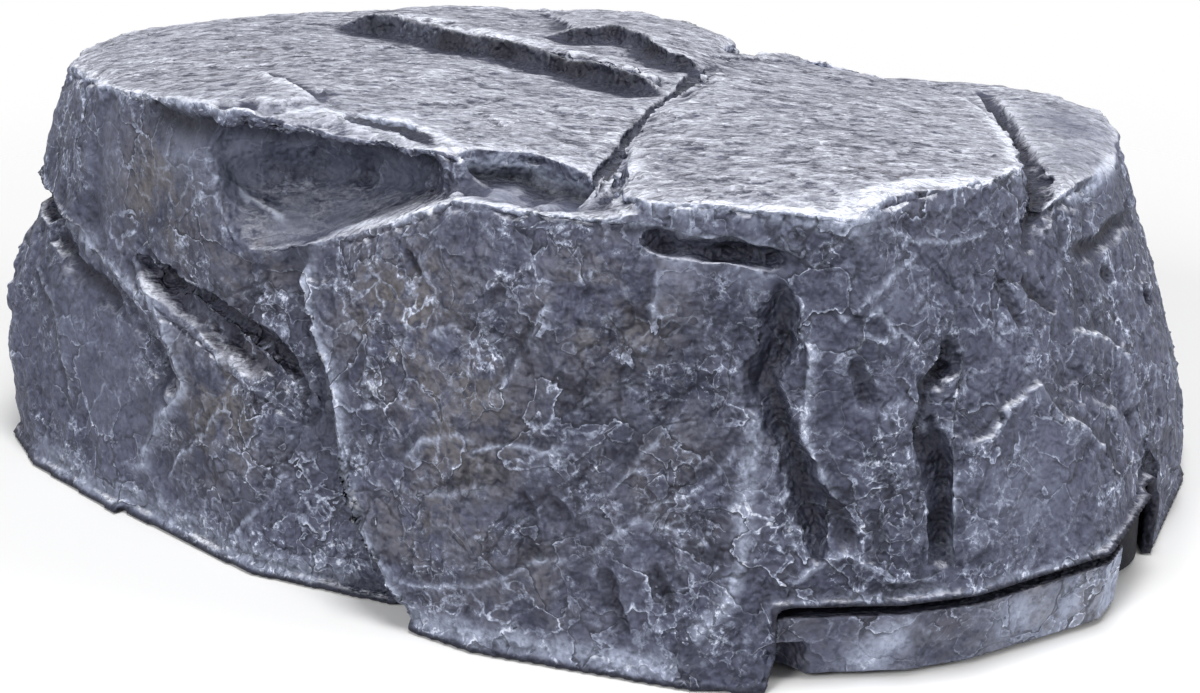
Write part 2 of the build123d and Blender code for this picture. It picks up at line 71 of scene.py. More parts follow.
# ---- the rock's relief, read off its face, in mm -----------------------------------------
LEFT_CRACK = [(-70, -8, 43.5), (-66.3, -9.5, 39.5), (-59.6, -20, 39), (-54.4, -25.5, 36.8),
              (-48.8, -29, 35), (-45.4, -31, 31.4), (-41.9, -31.4, 26.4)]
CENTRE_CRACK = [(18.4, 14.1, 66.8), (14.6, -1, 67.4), (10.6, -8.4, 66.7), (8, -16.3, 66.3),
                (5.4, -26.9, 66.1), (3.5, -35.5, 65.8), (1.6, -44.9, 64.8)]
FRONT_GULLY = [(26, -60.4, 57.9), (27.3, -62.5, 50), (27.1, -63, 48), (24.7, -63.7, 45.1),
               (26.4, -64.8, 39.5), (29.1, -66.1, 33.1), (31.4, -66.9, 26.5), (32, -67.9, 18.7)]
RIGHT_GULLY = [(50.7, -54.9, 48.7), (50.4, -56, 43.8), (48.2, -60.5, 41.5), (47.9, -62.5, 36.3),
               (49.4, -61.3, 28.8), (50.1, -62.7, 21.6), (50.5, -63.8, 16)]
LEFT_RIDGE = [(-87.7, 20.4, 42), (-81.4, 7.8, 40.4), (-72.6, -6.6, 36.7), (-67.7, -12.5, 36.3),
              (-66.2, -14.6, 33.4), (-63.6, -18.1, 27), (-63.2, -18.9, 24.2), (-66.3, -16.6, 19.5),
              (-69.9, -14, 13), (-73.2, -12.7, 5.8)]
SLAB_CORNER = [(-41.8, -29.3, 51.7), (-42.5, -29.8, 46.9), (-41, -34.2, 41.2), (-38.5, -38, 34.8),
               (-37.6, -40.4, 28.9), (-37.2, -42.1, 23.5), (-35.7, -44.7, 17.7),
               (-33, -47.1, 11.2), (-29.8, -49.3, 6.2), (-27, -51, 1)]
SLAB_RIM = [(x + 0.9, y - 0.3, z) for x, y, z in SLAB_CORNER]
SLAB_TOP = [(-41.8, -29.3, 52), (-35.9, -27, 54.5), (-26.7, -37.6, 60), (-18.7, -42, 64.5),
            (-9, -50, 65.5), (2, -54, 65.6), (7, -55, 67)]
LEFT_LIP = [(-87.5, 31, 62), (-81.5, 17, 64.5), (-73.6, 1.4, 67), (-66, -9, 68.5),
            (-57, -16, 70), (-54.6, -20.5, 70), (-45, -21.1, 70.8), (-37.5, -21.5, 70.5),
            (-28.9, -23, 69.9), (-21.6, -28, 68.5), (-17.5, -35.5, 68)]
UNDER_LIP = [(-70, -4, 65.5), (-66, -9, 66), (-57.5, -17.5, 66.5), (-48, -20, 67),
             (-37.6, -21, 67), (-27, -26, 66.5), (-21, -32, 65.5)]
BOWL_LIP = [(-18, -36, 67.5), (-13, -36, 67.5), (-9, -36.5, 66.8), (-4, -39, 66), (1, -43, 65)]
RIGHT_LIP = [(4, -50, 67), (9.2, -55.8, 67.8), (21.9, -58, 68.2), (33, -60, 67), (38, -57, 68),
             (41.1, -50, 68.8), (45.2, -45.5, 68), (54.7, -42.5, 67), (62.4, -34.1, 65),
             (64, -22, 64)]
END_LIP = [(65.7, -33.9, 59.9), (69.1, -28.7, 60.1), (76, -18.1, 56.9), (78.6, -10.3, 57.6),
           (83, 0.7, 56.5)]
CUT_OUT_EDGE = [(23.1, -69, 8.7), (25.5, -68.7, 13.2), (35.2, -68.2, 13.4), (42.2, -67.8, 13.4),
                (48.9, -66.5, 13.4), (61.2, -60.6, 13.4), (74.4, -52, 13.4), (79.4, -43.9, 13.2)]
OUTER_PLATE = [(69.9, -39, 43.2), (76, -31.5, 38.7), (79.4, -28.4, 35), (81.9, -27.2, 30.3),
               (84.1, -26.3, 24), (85.6, -25.9, 18.9), (84.8, -28.6, 14.6)]
INNER_PLATE = [(52.1, -60.9, 34.1), (55.6, -58, 34), (58.8, -53.8, 37.2), (63.4, -49.2, 38.7),
               (64.6, -48.9, 37.2), (68.4, -47.8, 33.1), (72.4, -45.1, 29.3), (75.9, -43, 25.3),
               (78.5, -41.2, 21.5), (80.7, -40.3, 15.3)]
BACK_STEP = [(-43.2, 41.1, 66.6), (-31.7, 34.7, 67.1), (-24, 25.4, 67.6), (-13.3, 19, 67.7),
             (-4.6, 13.6, 67.6), (2.4, 5.4, 67.6), (8, 1.9, 67.3), (13.2, -1.8, 67.8)]
REAR_STEP = [(-7.3, 28.9, 67), (-1.5, 27.1, 66.8), (3.9, 32, 66.3), (8.3, 24.7, 66.5),
             (11.3, 13.9, 66.8), (18.1, 10.3, 65.9)]
LEFT_STEP = [(-50.7, 3.1, 69.1), (-44.8, -7.5, 70.1), (-39.8, -17.8, 70.6)]
END_CREASE = [(64.5, 26, 60), (65.3, 19.5, 60), (65.6, 8, 60), (65.6, -8, 60), (65.4, -22, 60),
              (65.4, -33, 59.6), (64, -37.5, 57), (62.5, -40.8, 54)]
NOTCH = [(-93, 36, 44), (-91.5, 29, 42.8), (-89.5, 22.5, 42.4), (-86, 16, 42.2), (-80, 6, 41)]
SLOT_LIP = [(3, -55.5, 64.3), (5.1, -55.8, 63.9), (8.5, -56.5, 63.6), (15.2, -57.9, 63.1),
            (21.9, -59.3, 62.6), (27.1, -59.6, 62.1), (30, -60, 61.6)]
LEFT_FOOT = [(-94, 11, 2.4), (-87.1, 0.7, 2.2), (-78.9, -8.7, 2), (-68.6, -17.1, 2),
             (-60.5, -24.9, 2), (-51.6, -33, 2), (-43.6, -36.7, 2), (-35.3, -42, 2)]

# Furrows: half width, depth, the steep side if there is one, line.
FURROWS = [
    (1.5, 2.2, (-0.6, 0, -0.8), LEFT_CRACK),
    (2.2, 1.8, (1, 0, 0.4), [(-88.5, 18, 39.5), (-83.8, 7.6, 35.6), (-75.4, -3.7, 32.9)]),
    (2.0, 2.0, (0, 0, 1), [(-93, 32, 41.8), (-90.2, 24.6, 41), (-87.5, 19, 41)]),
    (0.8, 1.2, (1, 0, 0), CENTRE_CRACK),
    (2.1, 2.8, (1, 0, 0), FRONT_GULLY),
    (1.0, 1.2, (1, 0, 1), [(30.9, -66.5, 30), (35.3, -67.1, 25), (37, -67.3, 21)]),
    (1.7, 2.4, (1, 0, 0), RIGHT_GULLY),
    (3.2, 2.0, (0, 0, 1), UNDER_LIP),
    (5.0, 4.2, (0.3, 1, 0), BOWL_LIP),
    (1.3, 2.8, (0, 0, 1), [(8, -56, 61.9), (10.3, -56.5, 61.9), (15.3, -57, 61.6),
                           (20.7, -58, 61.3), (27.2, -60.4, 61.1)]),
    (1.7, 1.8, (-1, 0, 0), END_CREASE),
    (1.5, 1.2, (-1, 0, -1), [(62.5, -43.4, 51.5), (67.3, -40.3, 46.5)]),
    (0.9, 0.9, (-1, 0, -1), [(58.3, -46.1, 53.4), (61.9, -46.9, 45.9)]),
    (0.8, 0.8, None, [(-26.3, -40.8, 55.5), (-24.1, -43.5, 52.6)]),
    (0.8, 0.8, None, [(-48.6, -27.2, 47), (-47.1, -28.5, 42.7)]),
    (1.2, 1.1, (-1, 0, 0), [(35.9, -63.6, 47.1), (37.2, -64.1, 44.4), (38.1, -64.7, 40.8)]),
    (1.1, 1.0, (1, 0, 0), [(39.5, -67, 25.9), (41.2, -67.4, 19.7)]),
    (0.7, 0.7, None, [(-9.7, -58.2, 26), (-7.5, -59.7, 21.2)]),
    (0.7, 0.6, None, [(-5.8, -59.7, 25.4), (-2.6, -61.1, 22.6)]),
    (1.2, 0.9, (1, 0, 0), [(1.8, -63.2, 16.3), (3, -64.2, 11), (5, -65.4, 6.6)]),
    (1.2, 0.9, (1, 0, 0), [(8.7, -65, 17.9), (11.9, -66.7, 11.6)]),
    (2.2, 1.4, (0, 0, 1), [(71, -31, 51.9), (77.1, -22.7, 50.8), (81.5, -12, 50), (84, -2, 49)]),
    (1.3, 1.2, None, [(77.5, -24, 46.5), (79, -22, 44)]),
    (1.5, 1.5, None, [(86.5, -13, 38.5), (88.5, -9, 36)]),
    (1.4, 1.4, None, [(86.6, -26, 16), (88, -23.5, 12)]),
    (2.0, 1.6, (0, 1, 0), [(-60, 60, 50), (-56, 64, 26), (-60, 64, 6)]),
    (2.0, 1.6, (1, 0, 0), [(6, 66, 52), (10, 68, 30), (16, 67, 8)]),
]
# Steps that face the front, their risers darkened with painted shade: height, how far it fades, drop at
# the foot and its fade, line.
STEPS = [
    (2.6, 14.0, 1.4, 9.0, BACK_STEP),
    (2.2, 12.0, 0.8, 5.0, REAR_STEP),
]
# Ridges: half width, height, line.
RIDGES = [
    (2.3, 1.3, LEFT_RIDGE),
    (1.3, 0.9, [(26.9, -61.2, 55.6), (30.6, -63.5, 48.2), (29.6, -64.5, 42.4),
                (29.3, -65.6, 36.2), (34.1, -66.7, 28.6), (36.4, -67.1, 25.6)]),
    (0.9, 0.7, [(51.8, -54.9, 46.8), (51.4, -57.4, 42.5), (49.9, -60.6, 36.2),
                (50.8, -62.3, 29.2), (50.8, -64.1, 15.2)]),
    (2.4, 0.7, [(23.8, -64, 42.9), (22.5, -65.1, 35.2), (21.6, -66, 28.1), (21.3, -67.2, 19.6),
                (18.6, -67.8, 12.9), (15.9, -67.9, 9.1), (15, -68.6, 3.9)]),
    (1.1, 0.6, [(25.9, -68.8, 14.4), (31.3, -68, 18.1), (36.1, -67.7, 19.8), (40.3, -67.7, 17.5),
                (43.9, -67.7, 15.8), (50.3, -66, 15.4)]),
    (0.7, 0.4, [(-58.1, -18.7, 58.5), (-53.9, -16.2, 57), (-48.7, -18.4, 54.1), (-44.9, -22, 52.4)]),
    (0.6, 0.35, [(38.8, -57.2, 63.9), (43.3, -54.1, 62.8), (46.3, -52.4, 61), (51.6, -48.4, 59.9),
                 (57.9, -43.4, 59.3)]),
    (0.6, 0.35, [(32.6, -62.2, 56), (34.7, -62.6, 53.2), (37.8, -61.5, 55.7), (43.2, -56.4, 58.1),
                 (46.3, -53, 59.8)]),
    (0.6, 0.35, [(36.7, -62.8, 51.9), (39.5, -61.2, 54.2), (41.7, -61.1, 51.2), (43.1, -61, 49)]),
    (0.6, 0.4, [(35.9, -63.6, 47.1), (38.2, -62.8, 50.4), (41, -61.9, 49.3), (43.1, -60.4, 50.2),
                (46.1, -59.3, 47.5)]),
]
# Ledges: height, how far it fades, the raised side, line.  A drop has a height below 0.
LEDGES = [
    (1.4, 6.0, (-1, -0.3, -0.2), OUTER_PLATE),
    (1.1, 8.0, (-0.4, 0, -1), INNER_PLATE),
    (2.8, 16.0, (0, 0, 1), NOTCH),
    (1.2, 10.0, (-1, -0.3, 0), LEFT_STEP),
    (1.0, 8.0, (1, 0.2, 0), CENTRE_CRACK),
    (1.5, 9.0, (1, -0.2, 0), SLAB_CORNER),
    (-2.8, 7.0, (-1, 0.2, 0), SLAB_CORNER),
    (1.0, 3.0, (0, 0, 1), SLOT_LIP),
    (0.5, 3.0, (0, 0, -1), LEFT_FOOT),
    (0.7, 4.0, (0, 0, -1), [(-28, -50.5, 8.4), (-21.2, -54.5, 9.2), (-12.4, -58.8, 13.5),
                            (-6.7, -60.5, 16.2), (-1.5, -62.1, 17.4)]),
    (0.6, 3.5, (0, 0, -1), [(-25.9, -50, 22.1), (-19.5, -53.6, 24.1), (-13.7, -56.2, 26.9)]),
    (0.6, 3.5, (0, 0, -1), [(-18.7, -53, 29.7), (-12.2, -55.6, 32.5), (-6.6, -58.2, 32.4),
                            (-2.5, -59.8, 33.4)]),
    (0.6, 4.0, (0.5, 0, -1), [(-3.8, -58.5, 36.8), (-1, -59.1, 40), (1.8, -59.5, 42.4),
                              (5.2, -60, 43.4), (8.6, -61.2, 40.9), (11.1, -62.4, 37)]),
    (0.6, 4.0, (1, 0, 0), [(4.5, -59, 47.4), (7.2, -59, 50.4), (8.5, -58.4, 54.5), (9.2, -57.7, 58.6)]),
    (0.7, 4.0, (1, 0, -1), [(1.8, -62, 26.2), (5.2, -62.4, 29.5), (7.3, -62.1, 33.9),
                            (10.7, -62.3, 37), (14, -62.2, 41.4)]),
    (0.7, 4.0, (1, 0, -1), [(7.3, -63.8, 24), (9.3, -63.7, 27), (14.1, -64.5, 28.2),
                            (17.5, -64.6, 32), (20.1, -64.4, 36.4)]),
    (0.6, 4.0, (0, 0, -1), [(-1, -62.2, 17.1), (1.8, -62.7, 20.4), (7.3, -63.8, 24),
                            (14.2, -65.3, 23.2), (18.3, -66.8, 19.3)]),
    (0.6, 3.0, (1, 0, 0), [(-34.3, -39, 42.4), (-32, -41.5, 40.3), (-32.9, -42.2, 35.9),
                           (-29, -45.6, 34.3)]),
    (0.5, 3.0, (0, 0, -1), [(-23.7, -46.4, 45.4), (-19.3, -48.7, 47.8), (-16.4, -50.6, 45.5),
                            (-12.1, -52.4, 47)]),
    (0.6, 4.0, (1, 0, -0.5), [(-15.1, -53.1, 37.5), (-12.2, -54, 40.1), (-10, -54.1, 44),
                              (-7.9, -54.1, 48.4), (-5.8, -54.1, 52.9)]),
    (0.5, 3.0, (0, 0, -1), [(-26.9, -48.7, 26.2), (-23.9, -49.9, 29.9), (-19.4, -52, 32.4),
                            (-15.1, -54.3, 31.9)]),
    (0.6, 4.0, (1, 0, 0), [(-67.4, -17.1, 8.4), (-64.3, -19.2, 14.5), (-59.6, -22.9, 19.6),
                           (-56.7, -24.9, 25.4)]),
    (0.5, 3.0, (-1, 0, -1), [(-59.4, -18.6, 34.4), (-56.8, -21.4, 33), (-54.8, -26, 30)]),
    (0.5, 4.0, (1, 0, -1), [(-56.8, -28, 3.3), (-53.1, -30.8, 8.1), (-48.9, -32.5, 12.2),
                            (-46.3, -32.9, 17.4)]),
    (0.6, 5.0, (1, 0, 0), [(-93, 18, 32.4), (-88.4, 10.1, 28.2), (-86.5, 5.9, 21.1),
                           (-84.6, 1.7, 14)]),
    (0.8, 12.0, (0, 0, -1), [(-80, 54, 36), (-62, 60, 40), (-44, 66, 34), (-30, 68, 38)]),
    (0.8, 12.0, (0, 0, -1), [(-6, 68, 30), (14, 66, 36), (34, 60, 32), (56, 54, 34)]),
    (0.8, 8.0, (0, 0, -1), [(70, 46, 22), (84, 36, 30), (94, 20, 22), (98, 6, 14)]),
]
# Edges that carry the palest dry-brushing: half width, strength, line.
BRUSHED = [
    (1.3, 1.0, RIGHT_LIP), (2.6, 1.0, [(34, -59, 67), (37, -58.5, 67.2), (40, -54, 67.8)]),
    (0.8, 1.0, LEFT_LIP), (0.9, 0.9, SLAB_TOP), (1.0, 0.9, END_LIP), (1.3, 1.25, SLAB_RIM),
    (0.9, 0.9, [(-18.6, -36.5, 68), (-13.1, -35.5, 68.1), (-8.9, -35.9, 67.2), (-3.9, -38.6, 66.3),
                (0.2, -42.5, 65.5)]),
    (0.8, 0.9, [(63.5, 22, 65), (63.3, 8, 65.5), (63.2, -8, 65.6), (63, -22, 65.8),
                (62.4, -33, 65.6)]),
    (0.6, 0.5, CENTRE_CRACK), (0.5, 0.6, SLOT_LIP),
    (0.6, 0.8, CUT_OUT_EDGE), (1.5, 0.8, LEFT_RIDGE), (0.6, 0.9, OUTER_PLATE),
    (0.35, 0.4, INNER_PLATE), (2.2, 0.7, LEFT_FOOT),
    (1.5, 1.0, [(-33, -46, 2.2), (-27.2, -51, 2.2), (-18.8, -56.7, 2.2), (-5.1, -62.1, 2.4),
                (8.2, -66.8, 2.4), (14.3, -68.9, 2.2)]),
]
# Where the beige wash lies: radius, strength, place.
WASHES = [
    (14, 1.0, (-26, -43, 48)), (15, 0.9, (-18, -50, 34)), (13, 0.7, (-22, -53, 18)),
    (12, 0.8, (2, -58, 52)), (12, 0.5, (10, -64, 30)), (13, 0.9, (-57, -24, 24)),
    (12, 0.9, (-67, -10, 52)), (10, 0.7, (-52, -25, 50)), (12, 0.5, (60, 0, 60)),
    (10, 0.5, (-8, -60, 12)), (14, 0.6, (-60, 20, 66)), (12, 0.5, (40, -40, 67)),
    (16, 0.6, (-50, 60, 30)), (16, 0.6, (30, 62, 30)), (14, 0.5, (90, 20, 25)),
]
# Smooth places with little texture, which the paint also makes paler as painted light for the shaded
# recess under the lip: radius, strength, place.
CALM = [
    (10, 1.0, (-42, -20, 60)), (9, 1.0, (-52, -17, 60)), (9, 1.0, (-31, -24, 61)),
    (9, 0.8, (-60, -14, 62)), (8, 1.0, (-44, -22, 54)), (8, 1.0, (-36, -23, 55)),
    (6, 1.0, (-12, -40, 64)), (6, 1.0, (-4, -43, 64)), (11, 0.6, (60, -56, 24)),
    (14, 0.6, (-88, 2, 26)), (14, 0.5, (-76, -6, 20)), (12, 0.5, (-78, 2, 54)),
    (7, 0.6, (43, -60, 58)), (5, 0.9, (12, -60, 61)), (5, 0.9, (22, -62, 60)),
    (12, 0.7, (76, 8, 59)), (10, 0.7, (76, -10, 58)),
]
# Corners worn round: radius, strength, place.
WORN = [
    (8, 1.0, (-57, -19, 58)), (7, 1.0, (-50, -21, 54)), (6, 0.8, (-60, -17, 64)),
    (5, 0.9, (18, 12, 67)), (5, 0.9, (15, 0, 67)), (5, 0.9, (11, -8, 66.5)),
    (5, 0.9, (8, -17, 66)), (5, 0.9, (5.5, -26, 66)), (5, 0.8, (3.5, -35, 65.5)),
    (5, 0.9, (-63, -15, 39)), (5, 0.9, (-55, -25, 37)), (5, 0.9, (-47, -30, 33)),
    (5, 0.9, (50, -57, 46)), (5, 0.9, (48.5, -61, 39)), (5, 0.9, (48.5, -63, 32)),
    (5, 0.9, (50, -64, 24)), (5, 0.8, (50.5, -65, 17)),
]

# ---- mesh arrays ------------------------------------------------------------------------
ROCK_VOXEL = 0.65 * MM
ROCK_TRIANGLES = 190000


def add_object(mesh, name):
    """A new object at the origin that shows a mesh."""
    piece = bpy.data.objects.new(name, mesh)
    bpy.context.collection.objects.link(piece)
    return piece


def merged_copy(node, name):
    """A copy of a CAD node's mesh with its loose triangles joined up."""
    mesh = nodes[node].data.copy()
    mesh.name = name
    mesh.materials.clear()
    work = bmesh.new()
    work.from_mesh(mesh)
    bmesh.ops.remove_doubles(work, verts=work.verts, dist=1e-6)
    work.to_mesh(mesh)
    work.free()
    return add_object(mesh, name)


def settle(piece):
    """Turns what a piece's modifiers make into its own plain mesh."""
    graph = bpy.context.evaluated_depsgraph_get()
    mesh = bpy.data.meshes.new_from_object(piece.evaluated_get(graph))
    piece.modifiers.clear()
    old = piece.data
    piece.data = mesh
    bpy.data.meshes.remove(old)


def remeshed(node, name, voxel):
    """An even skin of small squares over a CAD node's shape."""
    piece = merged_copy(node, name)
    modifier = piece.modifiers.new("even_skin", "REMESH")
    modifier.mode = "VOXEL"
    modifier.voxel_size = voxel
    modifier.use_smooth_shade = True
    settle(piece)
    return piece


def get_places(mesh):
    """Vertex positions as an array."""
    flat = np.empty(len(mesh.vertices) * 3)
    mesh.vertices.foreach_get("co", flat)
    return flat.reshape(-1, 3)


def set_places(mesh, places):
    """Writes vertex positions back."""
    mesh.vertices.foreach_set("co", places.ravel())
    mesh.update()


def get_normals(mesh):
    """Vertex normals as an array."""
    flat = np.empty(len(mesh.vertices) * 3)
    mesh.vertex_normals.foreach_get("vector", flat)
    return flat.reshape(-1, 3)


def get_edges(mesh):
    """The two vertices of every edge."""
    flat = np.empty(len(mesh.edges) * 2, dtype=np.int32)
    mesh.edges.foreach_get("vertices", flat)
    return flat.reshape(-1, 2)


def blurred(values, edges, passes):
    """Values averaged with their neighbours along the mesh, again and again."""
    count = len(values)
    ends = np.concatenate((edges[:, 0], edges[:, 1]))
    others = np.concatenate((edges[:, 1], edges[:, 0]))
    degree = np.maximum(np.bincount(ends, minlength=count), 1)
    flat = values.reshape(count, -1).copy()
    for _ in range(passes):
        for column in range(flat.shape[1]):
            near = np.bincount(ends, weights=flat[others, column], minlength=count)
            flat[:, column] = 0.5 * flat[:, column] + 0.5 * near / degree
    return flat.reshape(values.shape)


def store(mesh, name, values):
    """Keeps one number for each vertex under a name."""
    layer = mesh.attributes.new(name, "FLOAT", "POINT")
    layer.data.foreach_set("value", np.ascontiguousarray(values, dtype=np.float32))


def step(values, low, high):
    """A smooth rise from 0 at low to 1 at high."""
    t = np.clip((values - low) / (high - low), 0.0, 1.0)
    return t * t * (3.0 - 2.0 * t)


def wander(places, size, amount, seed):
    """Places shaken by smooth noise, so that straight lines on them become ragged."""
    shift = Vector((seed * 3.7, seed * 1.3, seed * 2.1))
    moves = [noise.noise_vector(Vector(place) / size + shift) for place in places]
    return places + np.array(moves) * amount


def near_line(places, line):
    """How far places are from a broken line in mm, the nearest spot on it, and how far along."""
    corners = np.array(line, dtype=float) * MM
    lengths = np.linalg.norm(np.diff(corners, axis=0), axis=1)
    starts = np.concatenate(([0.0], np.cumsum(lengths)))
    gap = np.full(len(places), np.inf)
    spot = np.zeros_like(places)
    run = np.zeros(len(places))
    for index, (start, end) in enumerate(zip(corners[:-1], corners[1:])):
        share = np.clip((places - start) @ (end - start) / lengths[index] ** 2, 0.0, 1.0)
        foot = start + share[:, None] * (end - start)
        away = np.linalg.norm(places - foot, axis=1)
        nearer = away < gap
        gap[nearer] = away[nearer]
        spot[nearer] = foot[nearer]
        run[nearer] = (starts[index] + share[nearer] * lengths[index]) / starts[-1]
    return gap, spot, run


def close_to(places, line, reach):
    """Indices of the places inside a line's box grown by a reach."""
    corners = np.array(line, dtype=float) * MM
    low = corners.min(axis=0) - reach
    high = corners.max(axis=0) + reach
    return np.flatnonzero(np.all((places > low) & (places < high), axis=1))


def ends_fade(run):
    """1 along a line, and less towards both of its ends."""
    return step(run, -0.02, 0.12) * step(1.0 - run, -0.02, 0.12)


# ---- the rock's skin ------------------------------------------------------------------------
PIVOT = np.array([0.072, -0.024])
RECESS_RADIUS = 64.0 * MM
RECESS_HEIGHT = 12.5 * MM
DRUM_RADIUS = 13.8 * MM
JAMB_BEARING = math.radians(-9.5)
FOOT_BAND = 0.5 * MM


def beside_recess(places, margin):
    """Which places are in the tray's recess or within a margin of it."""
    flat = places[:, :2] - PIVOT
    radius = np.linalg.norm(flat, axis=1)
    over_jamb = math.cos(JAMB_BEARING) * flat[:, 1] - math.sin(JAMB_BEARING) * flat[:, 0]
    fan = (radius < RECESS_RADIUS + margin) & (over_jamb < margin)
    drum = radius < DRUM_RADIUS + margin
    return (places[:, 2] < RECESS_HEIGHT + margin) & (fan | drum)


def outer_skin(places, edges):
    """1 on the weathered outside of the rock, 0 on its foot, its recess and its hollow."""
    allowed = (places[:, 2] > FOOT_BAND) & ~beside_recess(places, 0.7 * MM)
    marked = np.zeros(len(places), dtype=bool)
    marked[np.argmax(places[:, 2])] = True
    inner = edges[allowed[edges[:, 0]] & allowed[edges[:, 1]]]
    found = 0
    while marked.sum() > found:
        found = marked.sum()
        for _ in range(8):
            marked[inner[marked[inner[:, 0]], 1]] = True
            marked[inner[marked[inner[:, 1]], 0]] = True
    return marked.astype(float)


def spotted(places, spots):
    """How strongly round spots on the rock cover places."""
    cover = np.zeros(len(places))
    for radius, strength, middle in spots:
        away = np.linalg.norm(places - np.array(middle) * MM, axis=1) / (radius * MM)
        cover = np.maximum(cover, strength * np.exp(-away ** 2 * 1.2))
    return cover


SLACK = 3.2


def carve(places, normals, skin):
    """Moves the skin to the furrows, ridges and ledges, and says where they get pale dry-brushing and
    painted shade.
    """
    ragged = wander(wander(places, 8 * MM, 0.9 * MM, 1), 2.6 * MM, 0.3 * MM, 2)
    uneven = 1.0 + 0.5 * np.array([noise.noise(Vector(place) / (5 * MM)) for place in places])
    lift = np.zeros(len(places))
    light = np.zeros(len(places))
    dark = np.zeros(len(places))

    def measure(line, reach, side=None):
        near = close_to(ragged, line, reach * MM)
        _, spot, run = near_line(ragged[near], line)
        away = (ragged[near] - spot) / MM
        over = np.einsum("ij,ij->i", away, normals[near])
        beside = np.linalg.norm(away - over[:, None] * normals[near], axis=1)
        gap = np.hypot(beside, 2.0 * np.maximum(np.abs(over) - SLACK, 0.0))
        if side is not None:
            gap = gap * np.sign(away @ np.array(side, dtype=float))
        return near, gap, ends_fade(run)

    for width, depth, side, line in FURROWS:
        near, across, fade = measure(line, 4 * width, side)
        across = across / uneven[near] / width
        if side is not None:
            across = np.where(across > 0.0, across / 0.5, across / 1.5)
        shape = np.clip(1.0 - np.abs(across), 0.0, 1.0) ** 0.9 * fade
        lift[near] -= depth * MM * shape
        # Painted shade: the bottom of each furrow is darkened as if it lay in shadow.
        dark[near] = np.maximum(dark[near], step(shape, 0.4, 1.0))
    for height, fading, drop, drop_fading, line in STEPS:
        near, across, fade = measure(line, 3 * fading, (0.5, 1, 0))
        body = step(across, -0.9, 0.9) * np.exp(-np.maximum(across, 0.0) / fading)
        foot = step(across, 0.9, -0.9) * np.exp(np.minimum(across, 0.0) / drop_fading)
        lift[near] += (height * body - drop * foot) * MM * fade
        # Painted shade over the riser, which faces the front.
        dark[near] = np.maximum(dark[near], np.exp(-(across / 1.1) ** 2) * fade * uneven[near])
    for width, height, line in RIDGES:
        near, gap, fade = measure(line, 4 * width)
        shape = np.clip(1.0 - gap / (1.6 * width), 0.0, 1.0) ** 1.3 * fade
        lift[near] += height * MM * shape
        light[near] = np.maximum(light[near], 0.6 * step(shape, 0.35, 1.0))
    for height, fading, side, line in LEDGES:
        near, across, fade = measure(line, 3 * fading, side)
        body = step(across, -0.6, 0.6) * np.exp(-np.maximum(across, 0.0) / fading)
        lift[near] += height * MM * body * fade
        if height < 0.0:
            # Painted shade at the foot of a drop.
            dark[near] = np.maximum(dark[near], 0.8 * np.exp(-((across - 0.6) / 0.7) ** 2) * fade)
            continue
        rim = np.exp(-((across - 0.4) / 0.3) ** 2) * fade * (2.0 * uneven[near] - 1.0)
        light[near] = np.maximum(light[near], 0.5 * rim)
        # Painted shade along the foot of each ledge.
        foot = np.exp(-((across + 0.8) / 0.55) ** 2) * fade * uneven[near]
        dark[near] = np.maximum(dark[near], 0.65 * foot)
    for width, strength, line in BRUSHED:
        near, gap, fade = measure(line, 4 * width)
        shape = np.exp(-(gap / width / uneven[near]) ** 2) * fade
        light[near] = np.maximum(light[near], strength * shape)
    return places + normals * (lift * skin)[:, None], light * skin, dark * skin


def risen(places, edges, normals, passes, full):
    """How far places stand above their blurred surroundings, 1 at a full height, from -1 to 1."""
    rise = np.einsum("ij,ij->i", places - blurred(places, edges, passes), normals) / full
    return np.clip(rise, -1.0, 1.0)


def relief_marks(mesh, places, edges, light, dark, skin):
    """Stores how proud or sunken each place is: dry-brushing on the proud places, painted shade in the
    sunken ones.
    """
    normals = get_normals(mesh)
    fine = risen(places, edges, normals, 5, 0.16 * MM)
    middle = risen(places, edges, normals, 18, 0.36 * MM)
    broad = risen(places, edges, normals, 70, 1.1 * MM)
    proud = np.maximum.reduce([0.4 * fine, middle, broad])
    sunken = np.maximum.reduce([-0.6 * fine, -middle, -broad])
    store(mesh, "proud", np.clip(proud, 0.0, 1.0) * skin)
    store(mesh, "sunken", np.clip(sunken, 0.0, 1.0) * skin)
    store(mesh, "brushed", light)
    store(mesh, "shaded", dark)


def keep_in_box(piece, node):
    """Holds a piece's skin inside its CAD node's box."""
    low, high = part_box(node)
    places = get_places(piece.data)
    set_places(piece.data, np.clip(places, np.array(low), np.array(high)))


